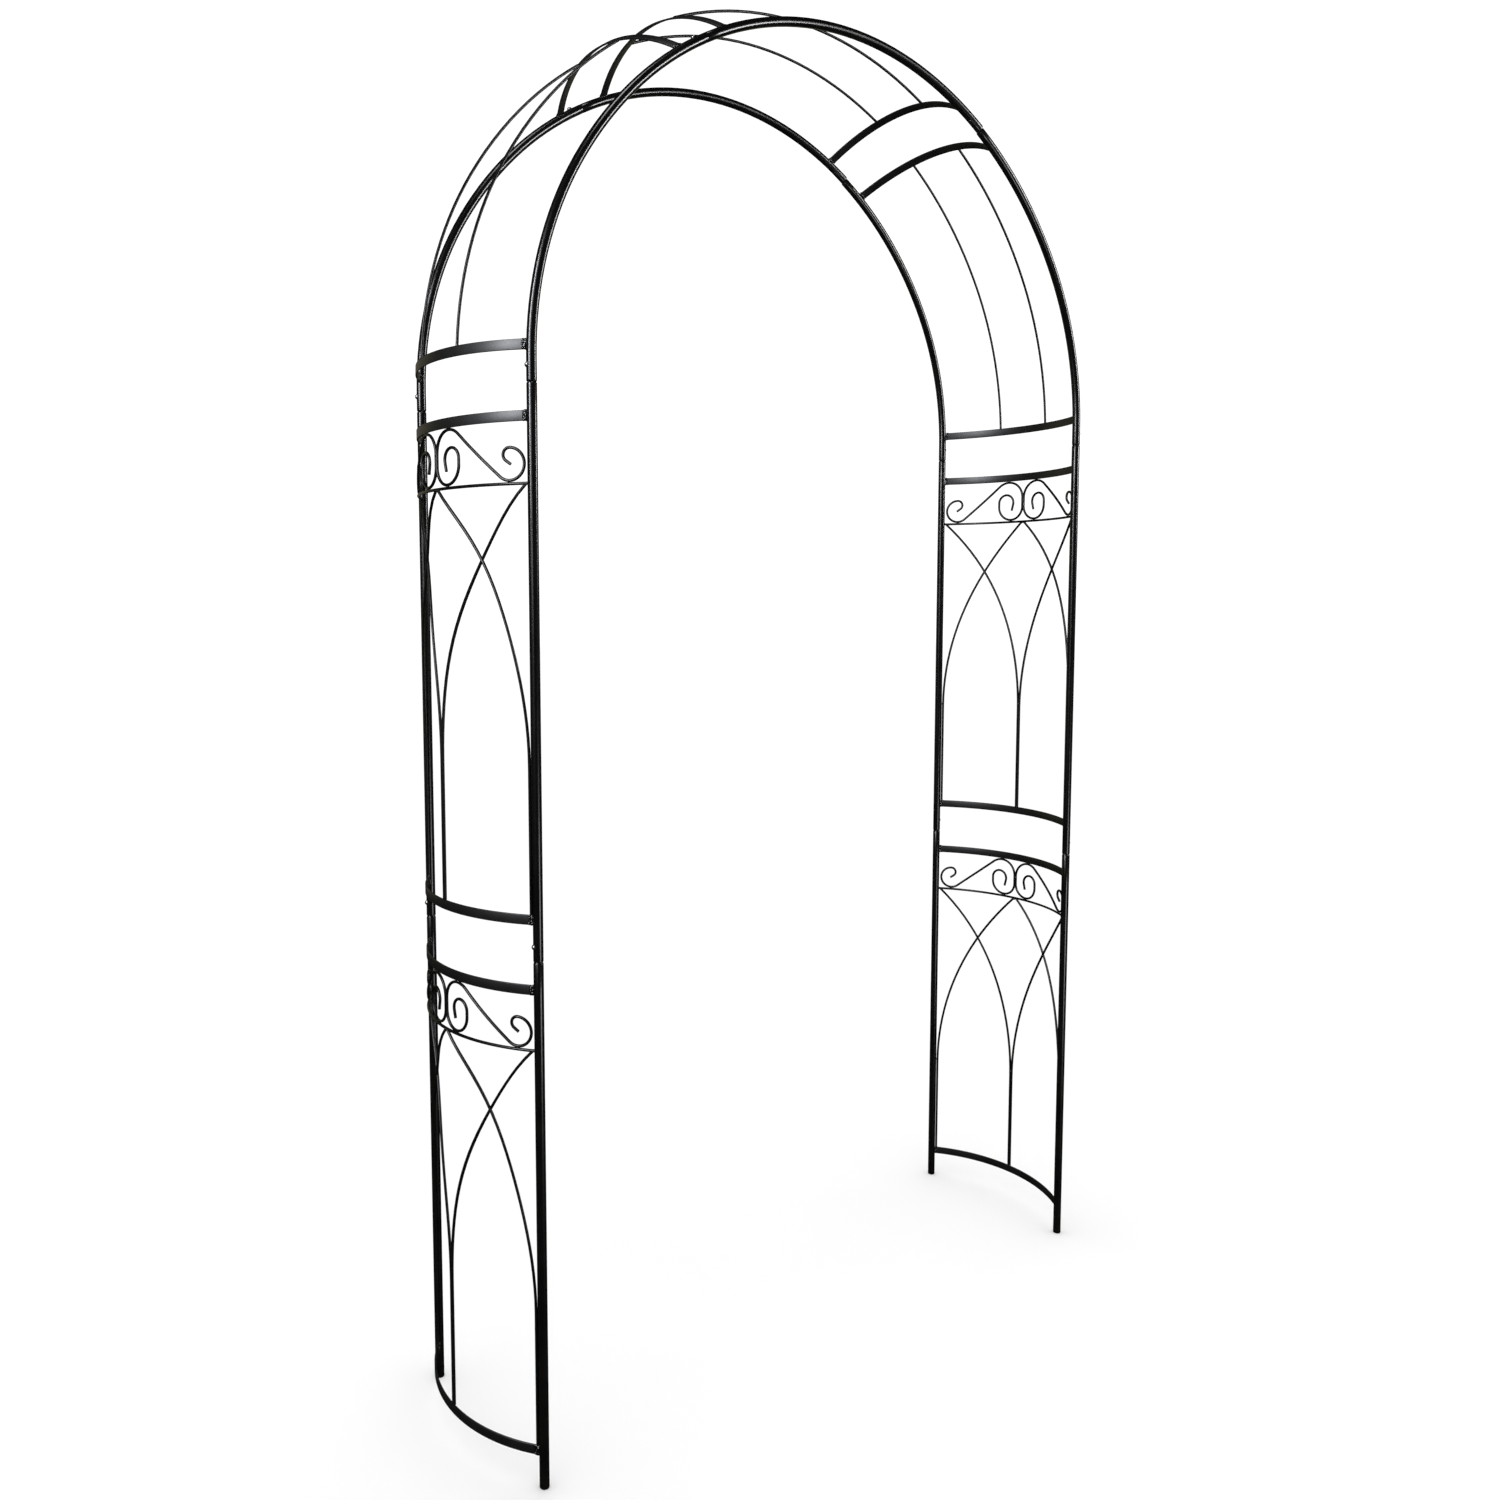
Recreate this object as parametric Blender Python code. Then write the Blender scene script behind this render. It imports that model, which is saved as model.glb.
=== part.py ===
"""Metal trellis arch for a garden path.

Two round-tube hoops stand one behind the other. Each hoop is seven tube
lengths plugged into one another and held by dome-head screws. Between the
hoops run bowed flat bands, thin bowed rails, curved tracery rods, pairs of
S-scrolls and, over the top, rods that follow the hoops.

Units are metres and +Z is up. X runs across the opening, from one leg of a
hoop to the other, and Y runs through the opening, from the front hoop (-Y)
to the rear hoop (+Y). The origin is on the ground, midway between the legs.
"""

import math

import bmesh
import bpy
from mathutils import Matrix, Vector

# Hoops
HOOP_SPAN = 1.346  # between the centre lines of a hoop's two legs
HOOP_SPACING = 0.361  # between the centre planes of the two hoops
LEG_JOINT_HEIGHT = 0.858  # the lower leg plugs into the upper leg here
HAUNCH_JOINT_HEIGHT = 1.737  # the upper leg plugs into the haunch here
SPRING_HEIGHT = 1.772  # the legs are straight up to this height
HAUNCH_RADIUS = 0.5715  # centre-line bend radius of the shoulders
CROWN_START_DEG = 58.2  # from the hoop's top: the larger crown radius ends here
CROWN_JOINT_DEG = 29.5  # from the hoop's top: the haunch and crown meet here

# Tube
TUBE_DIAMETER = 0.016
TUBE_WALL = 0.0012
TUBE_SIDES = 10
CREASE_DEG = 50.0  # edges sharper than this are shaded sharp
SPIGOT_LENGTH = 0.034  # the reduced end that plugs into the next tube
SPIGOT_CLEARANCE = 0.00035  # radial play between a spigot and its socket
SHOULDER_LENGTH = 0.002  # taper from the full tube down to the spigot
END_CHAMFER = 0.0005
FIT_GAP = 0.0003  # between pieces that rest on one another
BEND_STEP_DEG = 5.2  # longest bend between two rings of a curved tube

# Screws
SCREW_OFFSET = 0.024  # from a joint line to the screw's axis
SHANK_DIAMETER = 0.005
HEAD_DIAMETER = 0.0086
HEAD_HEIGHT = 0.0036
HOLE_CLEARANCE = 0.0003  # radial play around the shank
SHANK_REACH = 0.0022  # how far the shank passes the spigot's inner wall
SCREW_SIDES = 8
SCREW_MERGE = 0.00001
DOME_OUTLINE = ((0.0, 1.0), (0.45, 0.90), (0.82, 0.58), (1.0, 0.18))  # shares of the head

# Bowed surface that the bands, rails, tracery and scrolls lie in
BOW_RISE = 0.066
BOW_STEPS = 12

# Flat bands
BAND_WIDTH = 0.016
BAND_THICKNESS = 0.003

# Side panels: heights of the lowest band of each, and the spacing above it
LOWER_PANEL_HEIGHT = 0.061
LOWER_TRACERY_HEIGHT = 0.655
LOWER_SCROLL_HEIGHT = 0.0965
UPPER_PANEL_HEIGHT = 0.923
UPPER_TRACERY_HEIGHT = 0.665
UPPER_SCROLL_HEIGHT = 0.100

# Rods
ROD_DIAMETER = 0.0048
TRACERY_DROP = 0.428  # height over which a tracery rod bends to the vertical
TRACERY_STEPS = 8
ROD_OVERLAP = 0.8  # centre distance of two welded rods, as a share of a diameter
ROD_LAYER = 0.0005  # how far a crossing rod sits outside or inside the bow
COPE_GAP = 0.0004
COPE_LENGTH = 3 * BAND_WIDTH  # of the drums that notch the band's ends
COPE_RESOLUTION = 4
LEFT_TRACERY_FLATNESS = 0.65  # 0 follows the bow, 1 is straight halfway to a hoop
FLATNESS_FADE = 1.5  # how fast the flatness fades out towards the middle and the hoops
TRACERY_TURN_DEG = 7.0  # each crossing rod's facets are turned on from the last one's
TWIN_TURN_DEG = 15.0  # the mirrored scroll's facets are turned by this
TOP_ROD_TURN_DEG = 30.0  # turns a corner of the facets outermost
WELD_MERGE = 0.000001  # vertices of a rod nearer than this are one

# Scrolls, as shares of the clear height between the rail and the band
SCROLL_TOP_BEND = 0.42  # radius of the bend under the band
SCROLL_BOTTOM_BEND = 0.35  # radius of the spiral's lower half
SCROLL_INNER_BEND = 0.21  # radius of the spiral's inner half
SCROLL_INNER_RISE = 0.11  # straight length between the spiral's halves
SCROLL_TAIL = 0.17  # straight length at the spiral's inner end
SCROLL_TAIL_TILT_DEG = 14.0
SCROLL_HOOK_BEND = 0.29  # radius of the outer hook
SCROLL_CURL_BEND = 0.125  # radius at the hook's end
SCROLL_CURL_DEG = 145.0
SCROLL_CURL_TAIL = 0.12  # straight length at the hook's end
SCROLL_SIDE_GAP = 0.0025  # between the hook and the tube
SCROLL_STEP_DEG = 30.0
SCROLL_DIAGONAL_STEPS = 3

# Rods and bands over the top
FOOT_BAND_DEG = 88.0  # from the hoop's top: the haunch's lower band
HEAD_BAND_DEG = 34.0  # from the hoop's top: the haunch's upper band
CROWN_BAND_DEG = 25.0  # from the hoop's top: the crown's bands
TOP_ROD_SPACING = 0.120  # between the two rods of a section
TOP_ROD_STEPS = 10

# Finish
COAT_COLOUR = (0.008, 0.008, 0.009, 1.0)
COAT_ROUGHNESS = 0.38
SCREW_COLOUR = (0.27, 0.27, 0.28, 1.0)
SCREW_ROUGHNESS = 0.3

# Derived sizes
HALF_SPAN = HOOP_SPAN / 2
HALF_SPACING = HOOP_SPACING / 2
TUBE_RADIUS = TUBE_DIAMETER / 2
BORE_RADIUS = TUBE_RADIUS - TUBE_WALL
SPIGOT_RADIUS = BORE_RADIUS - SPIGOT_CLEARANCE
SPIGOT_BORE = SPIGOT_RADIUS - TUBE_WALL
FACET_FLAT = math.cos(math.pi / TUBE_SIDES)
ROD_RADIUS = ROD_DIAMETER / 2
CROWN_START = math.radians(CROWN_START_DEG)
CROWN_RADIUS = HAUNCH_RADIUS + (HALF_SPAN - HAUNCH_RADIUS) / math.sin(CROWN_START)
CROWN_CENTRE = SPRING_HEIGHT - (CROWN_RADIUS - HAUNCH_RADIUS) * math.cos(CROWN_START)
BOW_RADIUS = (HALF_SPACING**2 + BOW_RISE**2) / (2 * BOW_RISE)
BOW_HALF_ANGLE = math.asin(HALF_SPACING / BOW_RADIUS)
BOW_HALF_ARC = BOW_RADIUS * BOW_HALF_ANGLE
SHOULDER_BEND = 2 * SHOULDER_LENGTH / CROWN_RADIUS
ROD_PAIR = ROD_RADIUS * ROD_OVERLAP
DEPTH = Vector((0.0, 1.0, 0.0))
QUARTER_TURN = math.radians(90.0)


# ---------------------------------------------------------------- helpers


def clear_scene():
    for obj in list(bpy.data.objects):
        bpy.data.objects.remove(obj, do_unlink=True)


def coat(name, colour, roughness):
    """A Principled BSDF material for one piece."""
    material = bpy.data.materials.new(f"{name}_coat")
    material.use_nodes = True
    shader = material.node_tree.nodes["Principled BSDF"]
    shader.inputs["Base Color"].default_value = colour
    shader.inputs["Roughness"].default_value = roughness
    shader.inputs["Metallic"].default_value = 0.0
    material.diffuse_color = colour
    return material


def add_piece(name, mesh, parent, colour=COAT_COLOUR, roughness=COAT_ROUGHNESS):
    """A visible piece with its own mesh and material."""
    own = mesh.copy()
    own.name = name
    own.materials.append(coat(name, colour, roughness))
    piece = bpy.data.objects.new(name, own)
    bpy.context.scene.collection.objects.link(piece)
    piece.parent = parent
    return piece


def add_helper(name, mesh, parent):
    """A cutter or a joining shape, which is not a piece of the arch."""
    helper = bpy.data.objects.new(name, mesh)
    bpy.context.scene.collection.objects.link(helper)
    helper.parent = parent
    helper.hide_render = True
    helper.display_type = "WIRE"
    return helper


def add_section(name, turn=0.0):
    """An empty that carries the pieces of one welded section."""
    section = bpy.data.objects.new(name, None)
    bpy.context.scene.collection.objects.link(section)
    section.rotation_euler = (0.0, 0.0, turn)
    return section


def boolean(piece, other, operation):
    modifier = piece.modifiers.new(f"{operation.title()} {other.name}", "BOOLEAN")
    modifier.operation = operation
    modifier.solver = "EXACT"
    modifier.object = other


def finish_mesh(bm, name):
    """Turns the edited shape into a smooth-shaded mesh with its faces outward."""
    bmesh.ops.recalc_face_normals(bm, faces=bm.faces)
    mesh = bpy.data.meshes.new(name)
    bm.to_mesh(mesh)
    bm.free()
    mesh.shade_smooth()
    mesh.set_sharp_from_angle(angle=math.radians(CREASE_DEG))
    return mesh


# ---------------------------------------------------------------- hoop line


def outward(angle):
    """The hoop's outward direction at an angle from its top, in the hoop's plane."""
    return Vector((math.sin(angle), 0.0, math.cos(angle)))


def hoop_point(angle, offset=0.0):
    """A point of the hoop's centre line, or of a line outside it by the offset."""
    if abs(angle) <= CROWN_START:
        return Vector((0.0, 0.0, CROWN_CENTRE)) + outward(angle) * (CROWN_RADIUS + offset)
    side = math.copysign(1.0, angle)
    centre = Vector((side * (HALF_SPAN - HAUNCH_RADIUS), 0.0, SPRING_HEIGHT))
    return centre + outward(angle) * (HAUNCH_RADIUS + offset)


def bend_angles(start, end):
    """Angles from start to end, evenly spaced and no more than one bend step apart."""
    count = max(1, math.ceil(abs(end - start) / math.radians(BEND_STEP_DEG)))
    return [start + (end - start) * i / count for i in range(count + 1)]


# ---------------------------------------------------------------- tubes


def ring_matrix(centre, direction, radius):
    """Places a unit circle across the tube, with its X along the outward direction."""
    axis = direction.cross(DEPTH)
    frame = Matrix((direction, DEPTH, axis)).transposed().to_4x4()
    return Matrix.Translation(centre) @ frame @ Matrix.Scale(radius, 4)


def tube_mesh(name, outer, inner):
    """Skins rings up the outside and back down the bore into one closed wall."""
    bm = bmesh.new()
    rings = [ring_matrix(*ring) for ring in outer + inner[::-1]]
    bmesh.ops.create_circle(bm, segments=TUBE_SIDES, radius=1.0, matrix=rings[0])
    first = list(bm.edges)
    edges = first
    for before, after in zip(rings, rings[1:]):
        made = bmesh.ops.extrude_edge_only(bm, edges=edges)["geom"]
        verts = [item for item in made if isinstance(item, bmesh.types.BMVert)]
        bmesh.ops.transform(bm, matrix=after @ before.inverted(), verts=verts)
        fresh = set(verts)
        edges = [
            item
            for item in made
            if isinstance(item, bmesh.types.BMEdge) and fresh.issuperset(item.verts)
        ]
    bmesh.ops.bridge_loops(bm, edges=first + edges)
    return finish_mesh(bm, name)


def plain_end(point, direction, away):
    """Rings of a square-cut end: its chamfer outside and its bore inside."""
    inset = point - away * END_CHAMFER
    outer = [
        (point, direction, TUBE_RADIUS - END_CHAMFER),
        (inset, direction, TUBE_RADIUS),
    ]
    inner = [(point, direction, BORE_RADIUS)]
    return outer, inner


def spigot_end(point, direction, away, tip_points):
    """Rings of a reduced end, whose shoulder stops just short of the joint line."""
    face = point - away * FIT_GAP
    root = face - away * SHOULDER_LENGTH
    tip = [(place, facing, SPIGOT_RADIUS) for place, facing in tip_points]
    core = [(place, facing, SPIGOT_BORE) for place, facing in tip_points]
    outer = [(root, direction, TUBE_RADIUS), (face, direction, SPIGOT_RADIUS), *tip]
    inner = [(root, direction, BORE_RADIUS), (face, direction, SPIGOT_BORE), *core]
    return outer, inner


def leg_tube_mesh(name, length):
    """A straight leg with a plain lower end and a spigot at its top."""
    up = Vector((0.0, 0.0, 1.0))
    facing = Vector((1.0, 0.0, 0.0))
    low_outer, low_inner = plain_end(Vector(), facing, -up)
    tip = [(up * (length + SPIGOT_LENGTH), facing)]
    top_outer, top_inner = spigot_end(up * length, facing, up, tip)
    return tube_mesh(name, low_outer + top_outer, low_inner + top_inner)


def joint_angles(start, toward):
    """Angles halfway along and at the end of a crown joint's spigot.

    The spigot and its socket both bend at these, so their walls stay parallel.
    """
    reach = math.copysign(SPIGOT_LENGTH / CROWN_RADIUS, toward)
    return [start + reach / 2, start + reach]


def bent_rings(angles, radius):
    """Rings of one radius across the hoop line at the given angles."""
    return [(hoop_point(a), outward(a), radius) for a in angles]


def haunch_tube_mesh(name, has_spigot):
    """The right-hand shoulder tube, from the leg joint round to the crown joint.

    It is straight as far as the spring line. Its lower end is plain, and its
    upper end is plain or, with has_spigot, reduced to plug into the crown.
    """
    foot = Vector((HALF_SPAN, 0.0, HAUNCH_JOINT_HEIGHT))
    outer, inner = plain_end(foot, Vector((1.0, 0.0, 0.0)), Vector((0.0, 0.0, -1.0)))
    joint = math.radians(CROWN_JOINT_DEG)
    away = outward(joint).cross(DEPTH)
    if has_spigot:
        last_bends = [joint + SHOULDER_BEND]
        tip = [(hoop_point(a), outward(a)) for a in joint_angles(joint, -1.0)]
        end_outer, end_inner = spigot_end(hoop_point(joint), outward(joint), away, tip)
    else:
        last_bends = joint_angles(joint, 1.0)[::-1]
        end_outer, end_inner = plain_end(hoop_point(joint), outward(joint), away)
        end_outer.reverse()
    bends = bend_angles(QUARTER_TURN, CROWN_START)
    bends += bend_angles(CROWN_START, last_bends[0])[1:] + last_bends[1:]
    outer += bent_rings(bends, TUBE_RADIUS) + end_outer
    inner += bent_rings(bends, BORE_RADIUS) + end_inner
    return tube_mesh(name, outer, inner)


def crown_tube_mesh(name):
    """The top tube: a spigot at its left end and a plain socket at its right."""
    joint = math.radians(CROWN_JOINT_DEG)
    left = outward(-joint)
    right = outward(joint)
    tip = [(hoop_point(a), outward(a)) for a in joint_angles(-joint, -1.0)]
    outer, inner = spigot_end(hoop_point(-joint), left, left.cross(DEPTH), tip)
    outer.reverse()
    inner.reverse()
    end_outer, end_inner = plain_end(hoop_point(joint), right, DEPTH.cross(right))
    end_outer.reverse()
    last_bends = joint_angles(joint, -1.0)[::-1]
    bends = bend_angles(SHOULDER_BEND - joint, last_bends[0]) + last_bends[1:]
    outer += bent_rings(bends, TUBE_RADIUS) + end_outer
    inner += bent_rings(bends, BORE_RADIUS) + end_inner
    return tube_mesh(name, outer, inner)


# ---------------------------------------------------------------- screws


def screw_profile_mesh():
    """Half outline of the screw, down its outer side; the head's seat is at zero."""
    head = HEAD_DIAMETER / 2
    reach = TUBE_RADIUS * FACET_FLAT + FIT_GAP - SPIGOT_BORE + SHANK_REACH
    outline = [
        *((head * across, HEAD_HEIGHT * level) for across, level in DOME_OUTLINE),
        (head, 0.0),
        (SHANK_DIAMETER / 2, 0.0),
        (SHANK_DIAMETER / 2, -reach),
        (0.0, -reach),
    ]
    bm = bmesh.new()
    verts = [bm.verts.new((x, 0.0, z)) for x, z in outline]
    for a, b in zip(verts, verts[1:]):
        bm.edges.new((a, b))
    mesh = bpy.data.meshes.new("screw_profile")
    bm.to_mesh(mesh)
    bm.free()
    return mesh


def add_screw(name, profile, centre, angle, parent):
    """A dome-head screw whose axis is the hoop's outward direction at the angle."""
    screw = add_piece(name, profile, parent, SCREW_COLOUR, SCREW_ROUGHNESS)
    screw.location = centre + outward(angle) * (TUBE_RADIUS * FACET_FLAT + FIT_GAP)
    screw.rotation_euler = (0.0, angle, 0.0)
    lathe = screw.modifiers.new("Turn", "SCREW")
    lathe.axis = "Z"
    lathe.angle = 2 * math.pi
    lathe.steps = SCREW_SIDES
    lathe.render_steps = SCREW_SIDES
    lathe.use_merge_vertices = True
    lathe.merge_threshold = SCREW_MERGE
    lathe.use_smooth_shade = True
    return screw


def hole_mesh():
    """Drill for a screw hole through one side of a joint's two walls."""
    bm = bmesh.new()
    depth = TUBE_DIAMETER
    bmesh.ops.create_cone(
        bm,
        cap_ends=True,
        segments=SCREW_SIDES,
        radius1=SHANK_DIAMETER / 2 + HOLE_CLEARANCE,
        radius2=SHANK_DIAMETER / 2 + HOLE_CLEARANCE,
        depth=depth,
        matrix=Matrix.Translation((0.0, 0.0, depth / 2)),
    )
    return finish_mesh(bm, "screw_hole")


def drill(name, mesh, centre, angle, tubes, parent):
    """Cuts the screw's hole through each of the tubes that meet at a joint."""
    cutter = add_helper(name, mesh, parent)
    cutter.location = centre
    cutter.rotation_euler = (0.0, angle, 0.0)
    for tube in tubes:
        boolean(tube, cutter, "DIFFERENCE")


# ---------------------------------------------------------------- bowed pieces


def bow_point(arc, height, layer=0.0):
    """A point of the bowed surface, or of one outside it by the layer.

    The arc is a distance along the bow. The point is in a section's own
    frame: X is outward from the line between the two hoops, and the bow's
    middle is at Y = 0.
    """
    turn = arc / BOW_RADIUS
    radius = BOW_RADIUS + layer
    x = BOW_RISE - BOW_RADIUS + radius * math.cos(turn)
    return Vector((x, radius * math.sin(turn), height))


def bow_depth(across):
    """How far the bow stands out at a distance from its middle, measured along Y."""
    return BOW_RISE - BOW_RADIUS + math.sqrt(BOW_RADIUS**2 - across**2)


def flatten(point, share):
    """Moves a point of the bow towards the straight line from its middle to its end.

    The move fades out at the middle and at the hoops, so the rod's ends stay put.
    """
    across = min(abs(point.y) / HALF_SPACING, 1.0)
    spare = bow_depth(across * HALF_SPACING) - BOW_RISE * (1 - across)
    fade = (4 * across * (1 - across)) ** FLATNESS_FADE
    return point - Vector((share * fade * spare, 0.0, 0.0))


def band_mesh():
    """A strip as wide as the band, spun round the bow from hoop to hoop."""
    bm = bmesh.new()
    start = bow_point(-BOW_HALF_ARC, 0.0)
    rise = Vector((0.0, 0.0, BAND_WIDTH / 2))
    low = bm.verts.new(start - rise)
    high = bm.verts.new(start + rise)
    edge = bm.edges.new((low, high))
    bmesh.ops.spin(
        bm,
        geom=[low, high, edge],
        cent=(BOW_RISE - BOW_RADIUS, 0.0, 0.0),
        axis=(0.0, 0.0, 1.0),
        angle=2 * BOW_HALF_ANGLE,
        steps=BOW_STEPS,
    )
    return finish_mesh(bm, "band")


def hoop_cope_mesh():
    """Two upright drums, a little larger than the tubes, that notch what meets them."""
    bm = bmesh.new()
    for side in (-1.0, 1.0):
        bmesh.ops.create_cone(
            bm,
            cap_ends=True,
            segments=TUBE_SIDES,
            radius1=TUBE_RADIUS + COPE_GAP,
            radius2=TUBE_RADIUS + COPE_GAP,
            depth=COPE_LENGTH,
            matrix=Matrix.Translation((0.0, side * HALF_SPACING, 0.0)),
        )
    return finish_mesh(bm, "hoop_cope")


def rod_mesh(name, points, radius=ROD_RADIUS, resolution=1, tilt=0.0, upright=False):
    """A round rod along the points, from a bevelled curve with filled ends."""
    curve = bpy.data.curves.new(name, "CURVE")
    curve.dimensions = "3D"
    curve.twist_mode = "Z_UP" if upright else "MINIMUM"
    curve.bevel_depth = radius
    curve.bevel_resolution = resolution
    curve.use_fill_caps = True
    spline = curve.splines.new("POLY")
    spline.points.add(len(points) - 1)
    for target, point in zip(spline.points, points):
        target.co = (*point, 1.0)
        target.tilt = tilt
    carrier = bpy.data.objects.new(name, curve)
    formed = bpy.data.meshes.new_from_object(carrier)
    bpy.data.objects.remove(carrier)
    bpy.data.curves.remove(curve)
    bm = bmesh.new()
    bm.from_mesh(formed)
    bpy.data.meshes.remove(formed)
    bmesh.ops.remove_doubles(bm, verts=bm.verts, dist=WELD_MERGE)
    return finish_mesh(bm, name)


def bow_points(height):
    """Points along the whole bow at one height."""
    arcs = [BOW_HALF_ARC * (2 * i / BOW_STEPS - 1) for i in range(BOW_STEPS + 1)]
    return [bow_point(arc, height) for arc in arcs]


def add_band(name, mesh, cope, angle, parent):
    """A band whose ends are notched round the hoops at an angle from their top."""
    band = add_piece(name, mesh, parent)
    band.location = hoop_point(angle)
    band.rotation_euler = (0.0, angle - QUARTER_TURN, 0.0)
    thicken = band.modifiers.new("Thickness", "SOLIDIFY")
    thicken.thickness = BAND_THICKNESS
    thicken.offset = 0.0
    notch = add_helper(f"{name}_cope", cope, band)
    boolean(band, notch, "DIFFERENCE")
    return band


# ---------------------------------------------------------------- tracery


def tracery_line(start, end, height, layer):
    """A rod that leaves the rail, bends to the vertical and runs to the band.

    Start and end are distances along the bow. The bend is a circular arc
    whose lower end is upright.
    """
    reach = end - start
    radius = (reach**2 + TRACERY_DROP**2) / (2 * abs(reach))
    side = math.copysign(1.0, reach)
    sweep = math.asin(TRACERY_DROP / radius)
    points = []
    for i in range(TRACERY_STEPS + 1):
        turn = sweep * (1 - i / TRACERY_STEPS)
        arc = end - side * radius * (1 - math.cos(turn))
        level = height - TRACERY_DROP + radius * math.sin(turn)
        points.append(bow_point(arc, level, layer))
    points.append(bow_point(end, BAND_WIDTH / 2 + FIT_GAP, layer))
    return points


def add_tracery(name, height, flatness, parent, origin):
    """The four crossing rods of a panel, welded where they meet."""
    edge = BOW_HALF_ARC - TUBE_RADIUS - ROD_RADIUS - FIT_GAP
    runs = (
        (ROD_PAIR, edge, ROD_LAYER),
        (-ROD_PAIR, -edge, 2 * ROD_LAYER),
        (edge, ROD_PAIR, -ROD_LAYER),
        (-edge, -ROD_PAIR, -2 * ROD_LAYER),
    )
    meshes = []
    for count, (start, end, layer) in enumerate(runs):
        tilt = math.radians(TRACERY_TURN_DEG) * count
        line = [flatten(p, flatness) for p in tracery_line(start, end, height, layer)]
        meshes.append(rod_mesh(f"{name}_rod_{count}", line, tilt=tilt))
    tracery = add_piece(name, meshes[0], parent)
    tracery.location = origin
    for count, mesh in enumerate(meshes[1:], 1):
        helper = add_helper(f"{name}_rod_{count}", mesh, tracery)
        boolean(tracery, helper, "UNION")
    shape = rod_mesh(
        f"{name}_cope",
        bow_points(height),
        radius=ROD_RADIUS + COPE_GAP,
        resolution=COPE_RESOLUTION,
        upright=True,
    )
    boolean(tracery, add_helper(f"{name}_cope", shape, tracery), "DIFFERENCE")
    return tracery


# ---------------------------------------------------------------- scrolls


class FlatBend:
    """A rod bent on a flat bench: straight lengths and circular bends in turn."""

    def __init__(self, x, y, heading_deg):
        self.x = x
        self.y = y
        self.heading = math.radians(heading_deg)
        self.points = [(x, y)]

    def straight(self, length, steps=1):
        for _ in range(steps):
            self.x += length / steps * math.cos(self.heading)
            self.y += length / steps * math.sin(self.heading)
            self.points.append((self.x, self.y))

    def bend(self, radius, sweep_deg):
        """Bends to the left for a positive sweep and to the right for a negative one."""
        steps = max(2, math.ceil(abs(sweep_deg) / SCROLL_STEP_DEG))
        turn = math.radians(sweep_deg) / steps
        chord = 2 * radius * math.sin(abs(turn) / 2)
        for _ in range(steps):
            self.heading += turn / 2
            self.straight(chord)
            self.heading += turn / 2


def scroll_line(rail_height, band_height):
    """Flat outline of one S-scroll, from the spiral's inner end to the hook's end.

    It touches the mirrored scroll at the bow's middle, the rail below and the
    band above, and its hook stops short of the tube.
    """
    low = rail_height + ROD_DIAMETER + FIT_GAP
    high = band_height - BAND_WIDTH / 2 - ROD_RADIUS - FIT_GAP
    clear = high - low
    top = clear * SCROLL_TOP_BEND
    bottom = clear * SCROLL_BOTTOM_BEND
    inner = clear * SCROLL_INNER_BEND
    hook = clear * SCROLL_HOOK_BEND
    reach = BOW_HALF_ARC - TUBE_RADIUS - ROD_RADIUS - SCROLL_SIDE_GAP
    across = reach - hook - ROD_PAIR - top
    down = (high - top) - (low + hook)
    between = math.hypot(across, down)
    slope = math.atan2(down, across) + math.asin((top + hook) / between)
    diagonal = math.sqrt(between**2 - (top + hook) ** 2)
    tilt = SCROLL_TAIL_TILT_DEG
    left = ROD_PAIR + 2 * bottom - 2 * inner
    turn_height = low + bottom + clear * SCROLL_INNER_RISE
    tail = clear * SCROLL_TAIL
    swing = math.radians(tilt)
    start_x = left + inner * (1 - math.cos(swing)) + tail * math.sin(swing)
    start_y = turn_height - inner * math.sin(swing) - tail * math.cos(swing)
    line = FlatBend(start_x, start_y, 90.0 + tilt)
    line.straight(tail)
    line.bend(inner, -180.0 - tilt)
    line.straight(clear * SCROLL_INNER_RISE)
    line.bend(bottom, -180.0)
    line.straight(high - top - low - bottom)
    line.bend(top, -90.0 - math.degrees(slope))
    line.straight(diagonal, steps=SCROLL_DIAGONAL_STEPS)
    line.bend(hook, 180.0 + math.degrees(slope))
    line.bend(clear * SCROLL_CURL_BEND, SCROLL_CURL_DEG)
    line.straight(clear * SCROLL_CURL_TAIL)
    return line.points


def add_scrolls(name, rail_height, band_height, parent, origin):
    """Two mirrored scrolls welded together where they touch."""
    flat = scroll_line(rail_height, band_height)
    right = [bow_point(arc, height) for arc, height in flat]
    left = [bow_point(-arc, height) for arc, height in flat]
    scrolls = add_piece(name, rod_mesh(f"{name}_a", right), parent)
    scrolls.location = origin
    twin = rod_mesh(f"{name}_b", left, tilt=math.radians(TWIN_TURN_DEG))
    boolean(scrolls, add_helper(f"{name}_twin", twin, scrolls), "UNION")
    return scrolls


# ---------------------------------------------------------------- sections


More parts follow.
